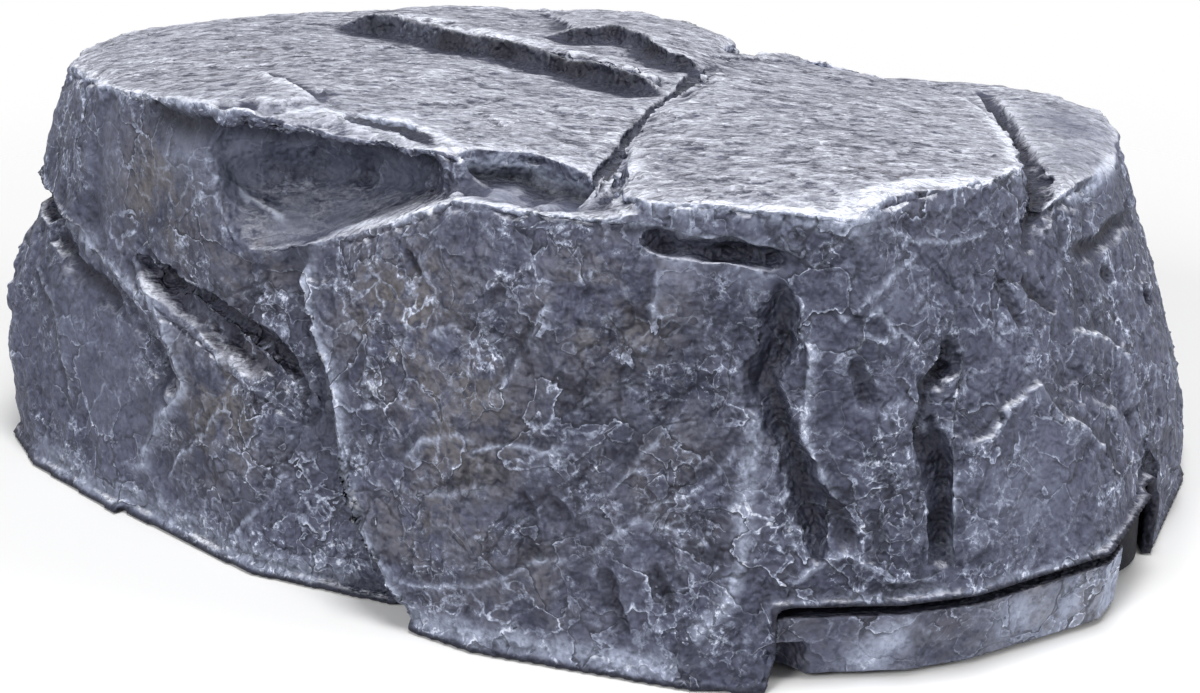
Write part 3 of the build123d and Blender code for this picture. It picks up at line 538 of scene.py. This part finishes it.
# ---- node trees ----------------------------------------------------------------------------
class Tree:
    """Adds nodes to a node tree and links them."""

    def __init__(self, tree):
        self.tree = tree

    def add(self, kind, inputs=(), **settings):
        node = self.tree.nodes.new(kind)
        for name, value in settings.items():
            setattr(node, name, value)
        for key, value in dict(inputs).items():
            if isinstance(value, bpy.types.NodeSocket):
                self.tree.links.new(value, node.inputs[key])
            else:
                node.inputs[key].default_value = value
        return node

    def math(self, operation, *values, clamp=False):
        node = self.add("ShaderNodeMath", enumerate(values), operation=operation,
                        use_clamp=clamp)
        return node.outputs[0]

    def vector_math(self, operation, *values):
        node = self.add("ShaderNodeVectorMath", enumerate(values), operation=operation)
        return node.outputs[0]

    def remap(self, value, low, high, to_low=0.0, to_high=1.0, kind="SMOOTHSTEP"):
        node = self.add("ShaderNodeMapRange", {
            "Value": value, "From Min": low, "From Max": high, "To Min": to_low,
            "To Max": to_high}, interpolation_type=kind)
        return node.outputs[0]

    def noise(self, vector, size, detail=4.0, roughness=0.55, distortion=0.0, seed=0.0):
        node = self.add("ShaderNodeTexNoise", {
            "Vector": vector, "W": seed, "Scale": 1.0 / size, "Detail": detail,
            "Roughness": roughness, "Distortion": distortion}, noise_dimensions="4D")
        return node.outputs[0]

    def mix(self, share, first, second, blend="MIX"):
        node = self.add("ShaderNodeMix", {0: share, 6: first, 7: second}, data_type="RGBA",
                        blend_type=blend, clamp_factor=True)
        return node.outputs[2]


def new_group(name, kind, inputs, outputs):
    """A node group with named sockets, and its input and output nodes."""
    group = bpy.data.node_groups.new(name, kind)
    for label, socket, value in inputs:
        item = group.interface.new_socket(name=label, in_out="INPUT", socket_type=socket)
        if value is not None:
            item.default_value = value
    for label, socket in outputs:
        group.interface.new_socket(name=label, in_out="OUTPUT", socket_type=socket)
    tree = Tree(group)
    return group, tree, tree.add("NodeGroupInput").outputs, tree.add("NodeGroupOutput").inputs


def weathering_tree():
    """Geometry nodes that break a stone surface into swells, slabs, flakes, chips and grains."""
    number = "NodeSocketFloat"
    group, tree, given, result = new_group("stone_weathering", "GeometryNodeTree", [
        ("Geometry", "NodeSocketGeometry", None), ("Swell Size", number, 0.03),
        ("Swell Height", number, 0.0016), ("Slab Size", number, 0.024),
        ("Slab Height", number, 0.0026), ("Slab Levels", number, 6.0),
        ("Flake Size", number, 0.009), ("Flake Height", number, 0.0024),
        ("Flake Levels", number, 8.0), ("Chip Size", number, 0.0045),
        ("Chip Height", number, 0.0015), ("Grain Size", number, 0.0026),
        ("Grain Height", number, 0.0006), ("Seed", number, 0.0),
        ("Paint", "NodeSocketMaterial", None),
    ], [("Geometry", "NodeSocketGeometry")])
    place = tree.add("GeometryNodeInputPosition").outputs[0]
    normal = tree.add("GeometryNodeInputNormal").outputs[0]

    def mark(name):
        return tree.add("GeometryNodeInputNamedAttribute", {"Name": name},
                        data_type="FLOAT").outputs[0]

    up = tree.add("ShaderNodeSeparateXYZ", {0: normal}).outputs[2]
    on_top = tree.remap(up, 0.6, 0.85)
    drawn = tree.vector_math("MULTIPLY", place, (0.6, 1.0, 1.0))

    def sized(vector, size, **kinds):
        spread = tree.add("ShaderNodeCombineXYZ", {0: size, 1: size, 2: size}).outputs[0]
        return tree.noise(tree.vector_math("DIVIDE", vector, spread), 1.0, seed=given["Seed"],
                          **kinds)

    def both(make):
        """The same relief all round, and drawn out along the rock on its top."""
        return tree.add("ShaderNodeMix", {0: on_top, 2: make(place), 3: make(drawn)}).outputs[0]

    def terraced(vector, size, levels, **kinds):
        level = tree.math("MULTIPLY", sized(vector, size, **kinds), levels)
        riser = tree.remap(tree.math("FRACT", level), 0.8, 1.0)
        whole = tree.math("ADD", tree.math("FLOOR", level), riser)
        return tree.math("DIVIDE", whole, levels)

    def relief(shape, middle, height):
        return tree.math("MULTIPLY", tree.math("SUBTRACT", shape, middle), height)

    slab = both(lambda vector: terraced(vector, given["Slab Size"], given["Slab Levels"],
                                        detail=4.0, roughness=0.5, distortion=0.3))
    flake = both(lambda vector: terraced(vector, given["Flake Size"], given["Flake Levels"],
                                         detail=4.0, roughness=0.6, distortion=0.6))
    grain = both(lambda vector: sized(vector, given["Grain Size"], detail=4.0, roughness=0.7))
    chip = tree.remap(sized(place, given["Chip Size"], detail=3.0, roughness=0.6), 0.42, 0.62)
    chip = tree.math("MULTIPLY", chip, mark("corner"))
    rough = tree.math("MULTIPLY",
                      tree.math("SUBTRACT", 1.0, tree.math("MULTIPLY", mark("calm"), 0.85)),
                      tree.math("SUBTRACT", 1.0, tree.math("MULTIPLY", on_top, 0.5)))
    lift = tree.math("ADD", relief(slab, 0.6, given["Slab Height"]),
                     relief(flake, 0.6, given["Flake Height"]))
    lift = tree.math("ADD", lift, relief(grain, 0.55, given["Grain Height"]))
    lift = tree.math("SUBTRACT", lift, tree.math("MULTIPLY", chip, given["Chip Height"]))
    lift = tree.math("MULTIPLY", lift, rough)
    swell = sized(place, given["Swell Size"], detail=2.0)
    lift = tree.math("ADD", lift, relief(swell, 0.55, given["Swell Height"]))
    lift = tree.math("MULTIPLY", lift, mark("skin"))
    spread = tree.add("ShaderNodeCombineXYZ", {0: lift, 1: lift, 2: lift}).outputs[0]
    moved = tree.add("GeometryNodeSetPosition", {
        "Geometry": given["Geometry"], "Offset": tree.vector_math("MULTIPLY", normal, spread)})
    whole = tree.add("GeometryNodeRealizeInstances", {0: moved.outputs[0]})
    painted = tree.add("GeometryNodeSetMaterial", {"Geometry": whole.outputs[0],
                                                   "Material": given["Paint"]})
    tree.tree.links.new(painted.outputs[0], result[0])
    return group


def weather(piece, group, paint, **sizes):
    """Runs the weathering on a piece, with sizes by input name."""
    modifier = piece.modifiers.new("weathering", "NODES")
    modifier.node_group = group
    sizes["Paint"] = paint
    for item in group.interface.items_tree:
        if item.in_out == "INPUT" and item.name in sizes:
            modifier[item.identifier] = sizes[item.name]
    settle(piece)


# ---- finishes --------------------------------------------------------------------------------
def stone_paint_group():
    """Layered stone paint: dark base, beige wash, pale dry-brushing, a paler grey on tops that is partly
    painted light, and painted shade in crevices.
    """
    number = "NodeSocketFloat"
    colour = "NodeSocketColor"
    group, tree, given, result = new_group("stone_paint", "ShaderNodeTree", [
        ("Vector", "NodeSocketVector", None), ("Proud", number, 0.0), ("Sunken", number, 0.0),
        ("Brushed", number, 0.0), ("Shaded", number, 0.0), ("Wash", number, 0.0),
        ("Calm", number, 0.0), ("Skin", number, 1.0), ("Upward", number, 0.0),
        ("Brush Amount", number, 0.5),
        ("Deep", colour, (0.029, 0.033, 0.061, 1)), ("Mid", colour, (0.078, 0.084, 0.133, 1)),
        ("Beige", colour, (0.155, 0.139, 0.124, 1)), ("Pale", colour, (0.40, 0.445, 0.58, 1)),
        # Top: grey for upward faces, dry-brushed paint that is partly painted light from above.
        ("Top", colour, (0.37, 0.38, 0.45, 1)), ("Bright", colour, (0.78, 0.81, 0.92, 1)),
        # Crevice: near-black painted shade for crevices, plate feet and risers; mixed with Deep it is
        # also the unpainted inside.
        ("Crevice", colour, (0.01, 0.011, 0.019, 1)),
    ], [("Color", colour), ("Roughness", number), ("Height", number)])
    place = given["Vector"]

    def both(first, second, share):
        return tree.add("ShaderNodeMix", {0: share, 2: first, 3: second}).outputs[0]

    def times(*parts):
        whole = parts[0]
        for part in parts[1:]:
            whole = tree.math("MULTIPLY", whole, part)
        return whole

    def total(*parts):
        whole = parts[0]
        for part in parts[1:]:
            whole = tree.math("ADD", whole, part)
        return whole

    def less(value):
        return tree.math("SUBTRACT", 1.0, value)

    def shaken(vector, size, amount, seed):
        """A vector pushed about by coloured noise."""
        push = tree.add("ShaderNodeTexNoise", {
            "Vector": vector, "W": seed, "Scale": 1.0 / size, "Detail": 2.0,
            "Roughness": 0.5}, noise_dimensions="4D").outputs["Color"]
        push = tree.vector_math("SUBTRACT", push, (0.5, 0.5, 0.5))
        return tree.vector_math("ADD", vector, tree.vector_math(
            "MULTIPLY", push, (amount, amount, amount)))

    def plates(vector, size, line, seed):
        """Tilted chipped plates: height, pale rims of the high ones, and painted shadow lines along the
        low ones.
        """
        warped = shaken(shaken(vector, 1.3 * size, 1.9 * size, seed), 0.3 * size, 0.45 * size,
                        seed + 0.5)
        cells = tree.add("ShaderNodeTexVoronoi", {"Vector": warped, "Scale": 1.0 / size}).outputs
        edge = tree.add("ShaderNodeTexVoronoi", {"Vector": warped, "Scale": 1.0 / size},
                        feature="DISTANCE_TO_EDGE").outputs["Distance"]
        lean = tree.vector_math("SUBTRACT", cells["Color"], (0.5, 0.5, 0.5))
        local = tree.vector_math("SUBTRACT", warped, cells["Position"])
        dot = tree.add("ShaderNodeVectorMath", {0: local, 1: lean},
                       operation="DOT_PRODUCT").outputs["Value"]
        level = tree.add("ShaderNodeSeparateXYZ", {0: cells["Color"]}).outputs[0]
        height = total(times(level, 0.45), times(dot, 0.9 / size))
        rim = times(tree.remap(edge, line / size, 0.3 * line / size),
                    tree.remap(level, 0.35, 0.6))
        foot = times(tree.remap(edge, 1.5 * line / size, 0.4 * line / size),
                     tree.remap(level, 0.55, 0.3))
        return height, rim, foot

    drawn = tree.vector_math("MULTIPLY", shaken(place, 0.006, 0.002, 15.0), (0.55, 1.0, 1.0))
    broad = tree.noise(place, 0.022, detail=3.0, seed=1.0)
    blotch = tree.noise(place, 0.0065, detail=6.0, roughness=0.65, distortion=0.5, seed=2.0)
    fine = tree.noise(place, 0.0016, detail=6.0, roughness=0.75, distortion=0.4, seed=3.0)
    grit = tree.remap(tree.noise(place, 0.0006, detail=3.0, roughness=0.7, seed=4.0),
                      0.3, 0.7, 0.0, 1.0, "LINEAR")
    streak = tree.noise(drawn, 0.0015, detail=6.0, roughness=0.72, distortion=0.4, seed=5.0)
    patch = tree.remap(tree.noise(place, 0.012, detail=3.0, seed=6.0), 0.4, 0.58)
    speck = tree.remap(tree.noise(place, 0.009, detail=4.0, seed=7.0), 0.46, 0.62)
    large, large_rim, large_foot_shadow = plates(place, 0.0062, 0.0004, 8.0)
    small, small_rim, small_foot_shadow = plates(place, 0.0025, 0.0003, 9.0)
    sheet, sheet_rim, sheet_foot_shadow = plates(drawn, 0.0030, 0.0003, 10.0)
    rough = less(times(given["Calm"], 0.85))
    # Upward faces take the Top colour: dry-brushing there, and partly painted light from above.
    top = times(tree.remap(given["Upward"], 0.55, 0.85), rough)

    worn = tree.remap(fine, 0.3, 0.7, 0.0, 1.0, "LINEAR")
    # The bump's noises stop at 0.3 mm: finer ones would average out to a flat grey.
    lumps = tree.noise(place, 0.0042, detail=2.0, roughness=0.6, distortion=0.4, seed=11.0)
    dents = tree.noise(place, 0.0015, detail=1.0, roughness=0.6, distortion=0.3, seed=12.0)
    grains = tree.noise(place, 0.0007, detail=0.0, seed=13.0)
    scores = tree.noise(drawn, 0.0014, detail=2.0, roughness=0.6, distortion=0.3, seed=14.0)
    side_height = total(times(large, 0.6), times(small, 0.4), times(lumps, 1.5),
                        times(dents, 0.55), times(grains, 0.15))
    top_height = total(times(sheet, 0.25), times(scores, 1.5), times(grains, 0.2))
    height = times(both(side_height, top_height, top), total(0.3, times(rough, 0.7)))

    base = tree.mix(tree.remap(broad, 0.35, 0.65), given["Deep"], given["Mid"])
    base = tree.mix(times(tree.remap(blotch, 0.35, 0.62), 0.6), base, given["Mid"])
    washed = times(given["Wash"], tree.remap(blotch, 0.38, 0.6))
    base = tree.mix(times(washed, 0.75), base, given["Beige"])
    base = tree.mix(times(tree.remap(dents, 0.46, 0.34), rough, 0.75), base, given["Deep"])
    # The pale tint on proud and brushed places is dry-brushing; on calm places it is painted light that
    # brightens the shaded recess.
    smooth = total(times(given["Proud"], 0.14), times(given["Brushed"], 0.5),
                   times(given["Calm"], given["Calm"], 0.24))
    base = tree.mix(smooth, base, given["Pale"])

    grip = tree.remap(total(grit, times(worn, 0.6)), 0.5, 1.0, 0.2, 1.0)
    frost = times(tree.remap(total(times(grit, 0.12), fine), 0.62, 0.69), total(0.05, times(speck, 0.8)))
    rims = tree.math("MAXIMUM", times(large_rim, total(0.3, times(patch, 0.7))),
                     times(small_rim, times(speck, 0.9)))
    rims = times(rims, tree.remap(blotch, 0.36, 0.56, 0.25, 1.15))
    edges = times(total(rims, frost), rough, grip)
    edges = total(edges, times(given["Proud"], tree.remap(fine, 0.5, 0.6), rough, 0.5),
                  times(given["Brushed"], tree.remap(fine, 0.38, 0.52), 0.9))
    edges = times(edges, total(0.6, times(given["Brush Amount"], 0.9)),
                  less(times(given["Sunken"], 0.6)))
    side = tree.mix(edges, base, given["Pale"])
    side = tree.mix(tree.remap(edges, 0.75, 1.3, 0.0, 0.7), side, given["Bright"])
    # Painted shadow lines along the low side of the plate edges.
    foot_shadow_lines = tree.math("MAXIMUM", times(large_foot_shadow, total(0.3, times(patch, 0.7))),
                     times(small_foot_shadow, speck, 0.7))
    side = tree.mix(times(foot_shadow_lines, rough, 0.7), side, given["Crevice"])

    lit = total(times(streak, 0.7), times(scores, 0.3), times(grit, 0.14), times(given["Proud"], 0.22),
                times(given["Brushed"], 0.45), times(sheet_rim, 0.12))
    # Painted shade: sunken places on the top are darker.
    lit = tree.math("SUBTRACT", lit, times(given["Sunken"], 0.3))
    above = tree.mix(tree.remap(lit, 0.40, 0.62), base, given["Top"])
    above = tree.mix(tree.remap(lit, 0.56, 0.9), above, given["Bright"])
    # Painted shadow lines along the plate edges on the top.
    above = tree.mix(times(sheet_foot_shadow, tree.remap(streak, 0.6, 0.4), 0.5), above,
                     given["Crevice"])
    # Upward faces get the top paint, partly painted light.
    paint = tree.mix(top, side, above)

    # Painted shade in sunken places and along the carved cracks, risers and feet.
    painted_shade = tree.math("MAXIMUM", times(given["Sunken"], rough, 0.6), given["Shaded"])
    paint = tree.mix(times(painted_shade, total(0.75, times(grit, 0.25))), paint, given["Crevice"])
    inside = tree.mix(times(grit, 0.6), given["Crevice"], given["Deep"])
    paint = tree.mix(tree.remap(given["Skin"], 0.0, 0.5), inside, paint)
    tree.tree.links.new(paint, result["Color"])
    tree.tree.links.new(tree.remap(edges, 0.0, 1.0, 0.6, 0.85, "LINEAR"), result["Roughness"])
    tree.tree.links.new(height, result["Height"])
    return group


def new_material(name):
    """An empty material with its tree, shader and object coordinates."""
    material = bpy.data.materials.new(name)
    material.use_nodes = True
    material.node_tree.nodes.clear()
    tree = Tree(material.node_tree)
    shader = tree.add("ShaderNodeBsdfPrincipled")
    output = tree.add("ShaderNodeOutputMaterial", {"Surface": shader.outputs[0]})
    output.is_active_output = True
    place = tree.add("ShaderNodeTexCoord").outputs["Object"]
    return material, tree, shader, place


def painted_stone(name, group, brush, depth):
    """The rock's paint, with its own amount of dry-brushing."""
    material, tree, shader, place = new_material(name)
    inputs = {"Vector": place, "Brush Amount": brush}
    for label in ("proud", "sunken", "brushed", "shaded", "wash", "calm", "skin"):
        read = tree.add("ShaderNodeAttribute", attribute_name=label, attribute_type="GEOMETRY")
        inputs[label.capitalize()] = read.outputs["Fac"]
    normal = tree.add("ShaderNodeNewGeometry").outputs["Normal"]
    inputs["Upward"] = tree.add("ShaderNodeSeparateXYZ", {0: normal}).outputs[2]
    layers = tree.add("ShaderNodeGroup", node_tree=group)
    for label, value in inputs.items():
        if isinstance(value, bpy.types.NodeSocket):
            tree.tree.links.new(value, layers.inputs[label])
        else:
            layers.inputs[label].default_value = value
    bump = tree.add("ShaderNodeBump", {"Height": layers.outputs["Height"], "Strength": 1.0,
                                       "Distance": depth})
    tree.tree.links.new(layers.outputs["Color"], shader.inputs["Base Color"])
    tree.tree.links.new(layers.outputs["Roughness"], shader.inputs["Roughness"])
    tree.tree.links.new(bump.outputs[0], shader.inputs["Normal"])
    shader.inputs["Specular IOR Level"].default_value = 0.3
    return material


paint_layers = stone_paint_group()
rock_paint = painted_stone("rock_paint", paint_layers, 0.45, 1.9 * MM)
front_paint = painted_stone("tray_front_paint", paint_layers, 0.25, 1.4 * MM)
weathering = weathering_tree()


# ---- the rock ---------------------------------------------------------------------------------
def make_rock():
    """The cast shell, weathered and painted."""
    rock = remeshed("rock_shell", "rock_body", ROCK_VOXEL)
    mesh = rock.data
    places = get_places(mesh)
    edges = get_edges(mesh)
    skin = outer_skin(places, edges)
    held = np.clip(blurred(skin, edges, 5) * 2.0 - 1.0, 0.0, 1.0) * skin
    places += (blurred(places, edges, 8) - places) * held[:, None]
    worn = spotted(places, WORN) * held
    places += (blurred(places, edges, 90) - places) * worn[:, None]
    set_places(mesh, places)
    normals = blurred(get_normals(mesh), edges, 3)
    store(mesh, "corner", risen(places, edges, normals, 36, 0.5 * MM))
    places, light, dark = carve(places, normals, held)
    set_places(mesh, places)
    store(mesh, "skin", held)
    store(mesh, "calm", spotted(places, CALM))
    store(mesh, "wash", spotted(places, WASHES))
    weather(rock, weathering, rock_paint, **{"Seed": 3.0})
    mesh = rock.data
    places = get_places(mesh)
    relief_marks(mesh, places, edges, light, dark, held)
    thin = rock.modifiers.new("thin", "DECIMATE")
    thin.ratio = min(1.0, ROCK_TRIANGLES / (2.0 * len(mesh.polygons)))
    settle(rock)
    keep_in_box(rock, "rock_shell")
    print("rock triangles", sum(len(p.vertices) - 2 for p in rock.data.polygons))
    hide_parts("rock_shell")
    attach(rock, "rock")
    return rock


FRONT_VOXEL = 0.5 * MM
FRONT_PATCHES = [(3.2, 1.9, (39.5, -67.5, 3)), (2.8, 1.7, (42.5, -66.8, 6)),
                 (2.4, 1.4, (36.5, -68, 2)), (4, 1.0, (62, -59, 6)), (3, 1.0, (70, -53, 5))]
FRONT_STREAK = [(44.5, -66.5, 9.6), (48.2, -65.5, 6.6), (52.5, -63.8, 3.2)]


def make_tray_front():
    """The painted front of the tray."""
    front = remeshed("tray_front", "tray_front_body", FRONT_VOXEL)
    mesh = front.data
    places = get_places(mesh)
    edges = get_edges(mesh)
    normals = get_normals(mesh)
    held = (normals[:, 1] < -0.3) & (normals[:, 2] < 0.6)
    held = np.clip(blurred(held.astype(float), edges, 4) * 2.0 - 1.0, 0.0, 1.0)
    end_face = normals @ np.array([math.cos(math.radians(18)), math.sin(math.radians(18)), 0])
    store(mesh, "skin", held)
    store(mesh, "corner", np.zeros(len(places)))
    store(mesh, "calm", np.zeros(len(places)))
    store(mesh, "wash", np.clip(0.3 + 0.7 * step(places[:, 0], 0.055, 0.07), 0.0, 1.0))
    weather(front, weathering, front_paint, **{
        "Seed": 9.0, "Swell Height": 0.0004, "Slab Height": 0.0006, "Flake Size": 0.006,
        "Flake Height": 0.0014, "Grain Height": 0.0004})
    mesh = front.data
    # Faces that look up or back get the near-black inside colour: unpainted, and on the top face also
    # painted shadow for the gap under the cut-out's roof.
    painted = blurred(((normals[:, 2] < 0.6) & (np.maximum(end_face, -normals[:, 1]) > 0.3))
                      .astype(float), edges, 1)
    mesh.attributes.remove(mesh.attributes["skin"])
    store(mesh, "skin", painted)
    places = get_places(mesh)
    # The end face, which looks right, and the right end of the front are painted pale: painted light
    # from the right-hand side.
    pale = (end_face > 0.6) * 0.6 + held * 0.4 * step(places[:, 0], 0.05, 0.066)
    pale = np.maximum(pale, spotted(places, FRONT_PATCHES) * held)
    gap, _, _ = near_line(places, FRONT_STREAK)
    pale = np.maximum(pale, 1.6 * np.exp(-(gap / (0.8 * MM)) ** 2) * held)
    relief_marks(mesh, places, edges, pale, np.zeros(len(places)), painted)
    thin = front.modifiers.new("thin", "DECIMATE")
    thin.ratio = 0.6
    settle(front)
    keep_in_box(front, "tray_front")
    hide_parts("tray_front")
    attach(front, "tray")


rock = make_rock()
make_tray_front()


# ---- the other finishes --------------------------------------------------------------------------
def moulded_plastic(name, colour, size, depth, roughness):
    """Plastic with a fine moulded texture."""
    material, tree, shader, place = new_material(name)
    grain = tree.noise(place, size, detail=3.0, roughness=0.6)
    tone = tree.remap(tree.noise(place, 0.03, detail=2.0), 0.3, 0.7, 0.85, 1.15, "LINEAR")
    tint = tree.vector_math("SCALE", colour)
    tint.node.inputs["Scale"].default_value = 1.0
    tree.tree.links.new(tone, tint.node.inputs["Scale"])
    tree.tree.links.new(tint, shader.inputs["Base Color"])
    tree.tree.links.new(tree.remap(grain, 0.3, 0.7, roughness - 0.08, roughness + 0.08, "LINEAR"),
                        shader.inputs["Roughness"])
    bump = tree.add("ShaderNodeBump", {"Height": grain, "Strength": 0.6, "Distance": depth})
    tree.tree.links.new(bump.outputs[0], shader.inputs["Normal"])
    shader.inputs["Specular IOR Level"].default_value = 0.2
    return material


def metal(name, colour, size, roughness, stretch=(1.0, 1.0, 1.0)):
    """Turned or rolled metal with faint tool marks."""
    material, tree, shader, place = new_material(name)
    drawn = tree.vector_math("MULTIPLY", place, stretch)
    marks = tree.noise(drawn, size, detail=4.0, roughness=0.6)
    tint = tree.vector_math("SCALE", colour)
    tree.tree.links.new(tree.remap(marks, 0.3, 0.7, 0.88, 1.06, "LINEAR"),
                        tint.node.inputs["Scale"])
    tree.tree.links.new(tint, shader.inputs["Base Color"])
    tree.tree.links.new(tree.remap(marks, 0.3, 0.7, roughness - 0.06, roughness + 0.08, "LINEAR"),
                        shader.inputs["Roughness"])
    bump = tree.add("ShaderNodeBump", {"Height": marks, "Strength": 0.3, "Distance": 0.00003})
    tree.tree.links.new(bump.outputs[0], shader.inputs["Normal"])
    shader.inputs["Metallic"].default_value = 1.0
    return material


def foam(name, colour):
    """Closed-cell foam with small open pores at its cut face."""
    material, tree, shader, place = new_material(name)
    cells = tree.add("ShaderNodeTexVoronoi", {"Vector": place, "Scale": 2200.0},
                     feature="DISTANCE_TO_EDGE").outputs["Distance"]
    wall = tree.remap(cells, 0.0, 0.25)
    tint = tree.vector_math("SCALE", colour)
    tree.tree.links.new(tree.remap(wall, 0.0, 1.0, 1.25, 0.7, "LINEAR"),
                        tint.node.inputs["Scale"])
    tree.tree.links.new(tint, shader.inputs["Base Color"])
    bump = tree.add("ShaderNodeBump", {"Height": wall, "Strength": 0.6, "Distance": 0.0001,
                                       })
    bump.invert = True
    tree.tree.links.new(bump.outputs[0], shader.inputs["Normal"])
    shader.inputs["Roughness"].default_value = 0.95
    return material


tray_plastic = moulded_plastic("tray_plastic", (0.006, 0.0065, 0.010), 0.0008, 0.00006, 0.7)
base_plastic = moulded_plastic("base_plastic", (0.03, 0.03, 0.034), 0.001, 0.00008, 0.6)
washer_nylon = moulded_plastic("washer_nylon", (0.72, 0.71, 0.66), 0.002, 0.00002, 0.45)
screw_steel = metal("screw_steel", (0.62, 0.62, 0.63), 0.0006, 0.3)
spring_steel = metal("spring_steel", (0.5, 0.5, 0.5), 0.0008, 0.35)
keeper_steel = metal("keeper_steel", (0.58, 0.58, 0.6), 0.0009, 0.38)
magnet_nickel = metal("magnet_nickel", (0.68, 0.66, 0.62), 0.003, 0.16)
turned_brass = metal("turned_brass", (0.72, 0.52, 0.24), 0.0005, 0.28, (0.3, 0.3, 2.0))
seal_foam = foam("seal_foam", (0.035, 0.035, 0.035))
liner_foam = foam("liner_foam", (0.055, 0.055, 0.06))

FINISHES = {
    "shell_inserts": turned_brass, "base_plate": base_plastic, "base_gasket": seal_foam,
    "base_screws": screw_steel, "pivot_insert": turned_brass, "pivot_screw": screw_steel,
    "lower_washer": screw_steel, "spring_washer": spring_steel, "thrust_washer": washer_nylon,
    "catch_magnet": magnet_nickel, "key_tray": tray_plastic, "pivot_bush": turned_brass,
    "front_screws": screw_steel, "tray_liner": liner_foam, "catch_keeper": keeper_steel,
}
for node, finish in FINISHES.items():
    for seat in nodes[node].material_slots:
        seat.material = finish
    if not nodes[node].material_slots:
        nodes[node].data.materials.append(finish)


# ---- floor, world and lamps -------------------------------------------------------------------------
def make_floor():
    """A pale floor that shows as plain white to the camera except where the rock shades it."""
    mesh = bpy.data.meshes.new("floor")
    work = bmesh.new()
    bmesh.ops.create_grid(work, x_segments=1, y_segments=1, size=3.0)
    bmesh.ops.translate(work, verts=work.verts, vec=(0.0, 0.0, -0.0003))
    work.to_mesh(mesh)
    work.free()
    floor = add_object(mesh, "floor")
    material, tree, shader, place = new_material("pale_floor")
    away = tree.add("ShaderNodeVectorMath", {0: place}, operation="LENGTH").outputs["Value"]
    tree.tree.links.new(tree.remap(away, 0.27, 0.13), shader.inputs["Alpha"])
    shader.inputs["Base Color"].default_value = (0.8, 0.8, 0.8, 1.0)
    shader.inputs["Roughness"].default_value = 0.9
    mesh.materials.append(material)


def make_world():
    """A plain soft sky that is white to the camera."""
    world = bpy.data.worlds.new("studio")
    world.use_nodes = True
    bpy.context.scene.world = world
    world.node_tree.nodes.clear()
    tree = Tree(world.node_tree)
    rays = tree.add("ShaderNodeLightPath").outputs
    seen = tree.math("MAXIMUM", rays["Is Camera Ray"], tree.math(
        "MAXIMUM", rays["Is Glossy Ray"], rays["Is Transmission Ray"]))
    strength = tree.remap(seen, 0.0, 1.0, 0.25, 1.0, "LINEAR")
    sky = tree.add("ShaderNodeBackground", {"Color": (1.0, 1.0, 1.0, 1.0), "Strength": strength})
    tree.add("ShaderNodeOutputWorld", {"Surface": sky.outputs[0]})


def make_lamp(name, place, size, power):
    """A large square lamp that faces the rock."""
    data = bpy.data.lights.new(name, "AREA")
    data.shape = "SQUARE"
    data.size = size
    data.energy = power
    lamp = bpy.data.objects.new(name, data)
    lamp.location = place
    lamp.rotation_euler = (Vector((0.0, 0.0, 0.03)) - Vector(place)).to_track_quat(
        "-Z", "Y").to_euler()
    bpy.context.collection.objects.link(lamp)


make_floor()
make_world()
make_lamp("overhead_softbox", (0.05, -0.2, 0.95), 0.35, 7.0)
make_lamp("front_softbox", (-0.5, -0.8, 0.6), 0.3, 6.0)
make_lamp("side_softbox", (0.9, -0.25, 0.35), 0.3, 4.0)
bpy.context.scene.view_settings.view_transform = "Standard"
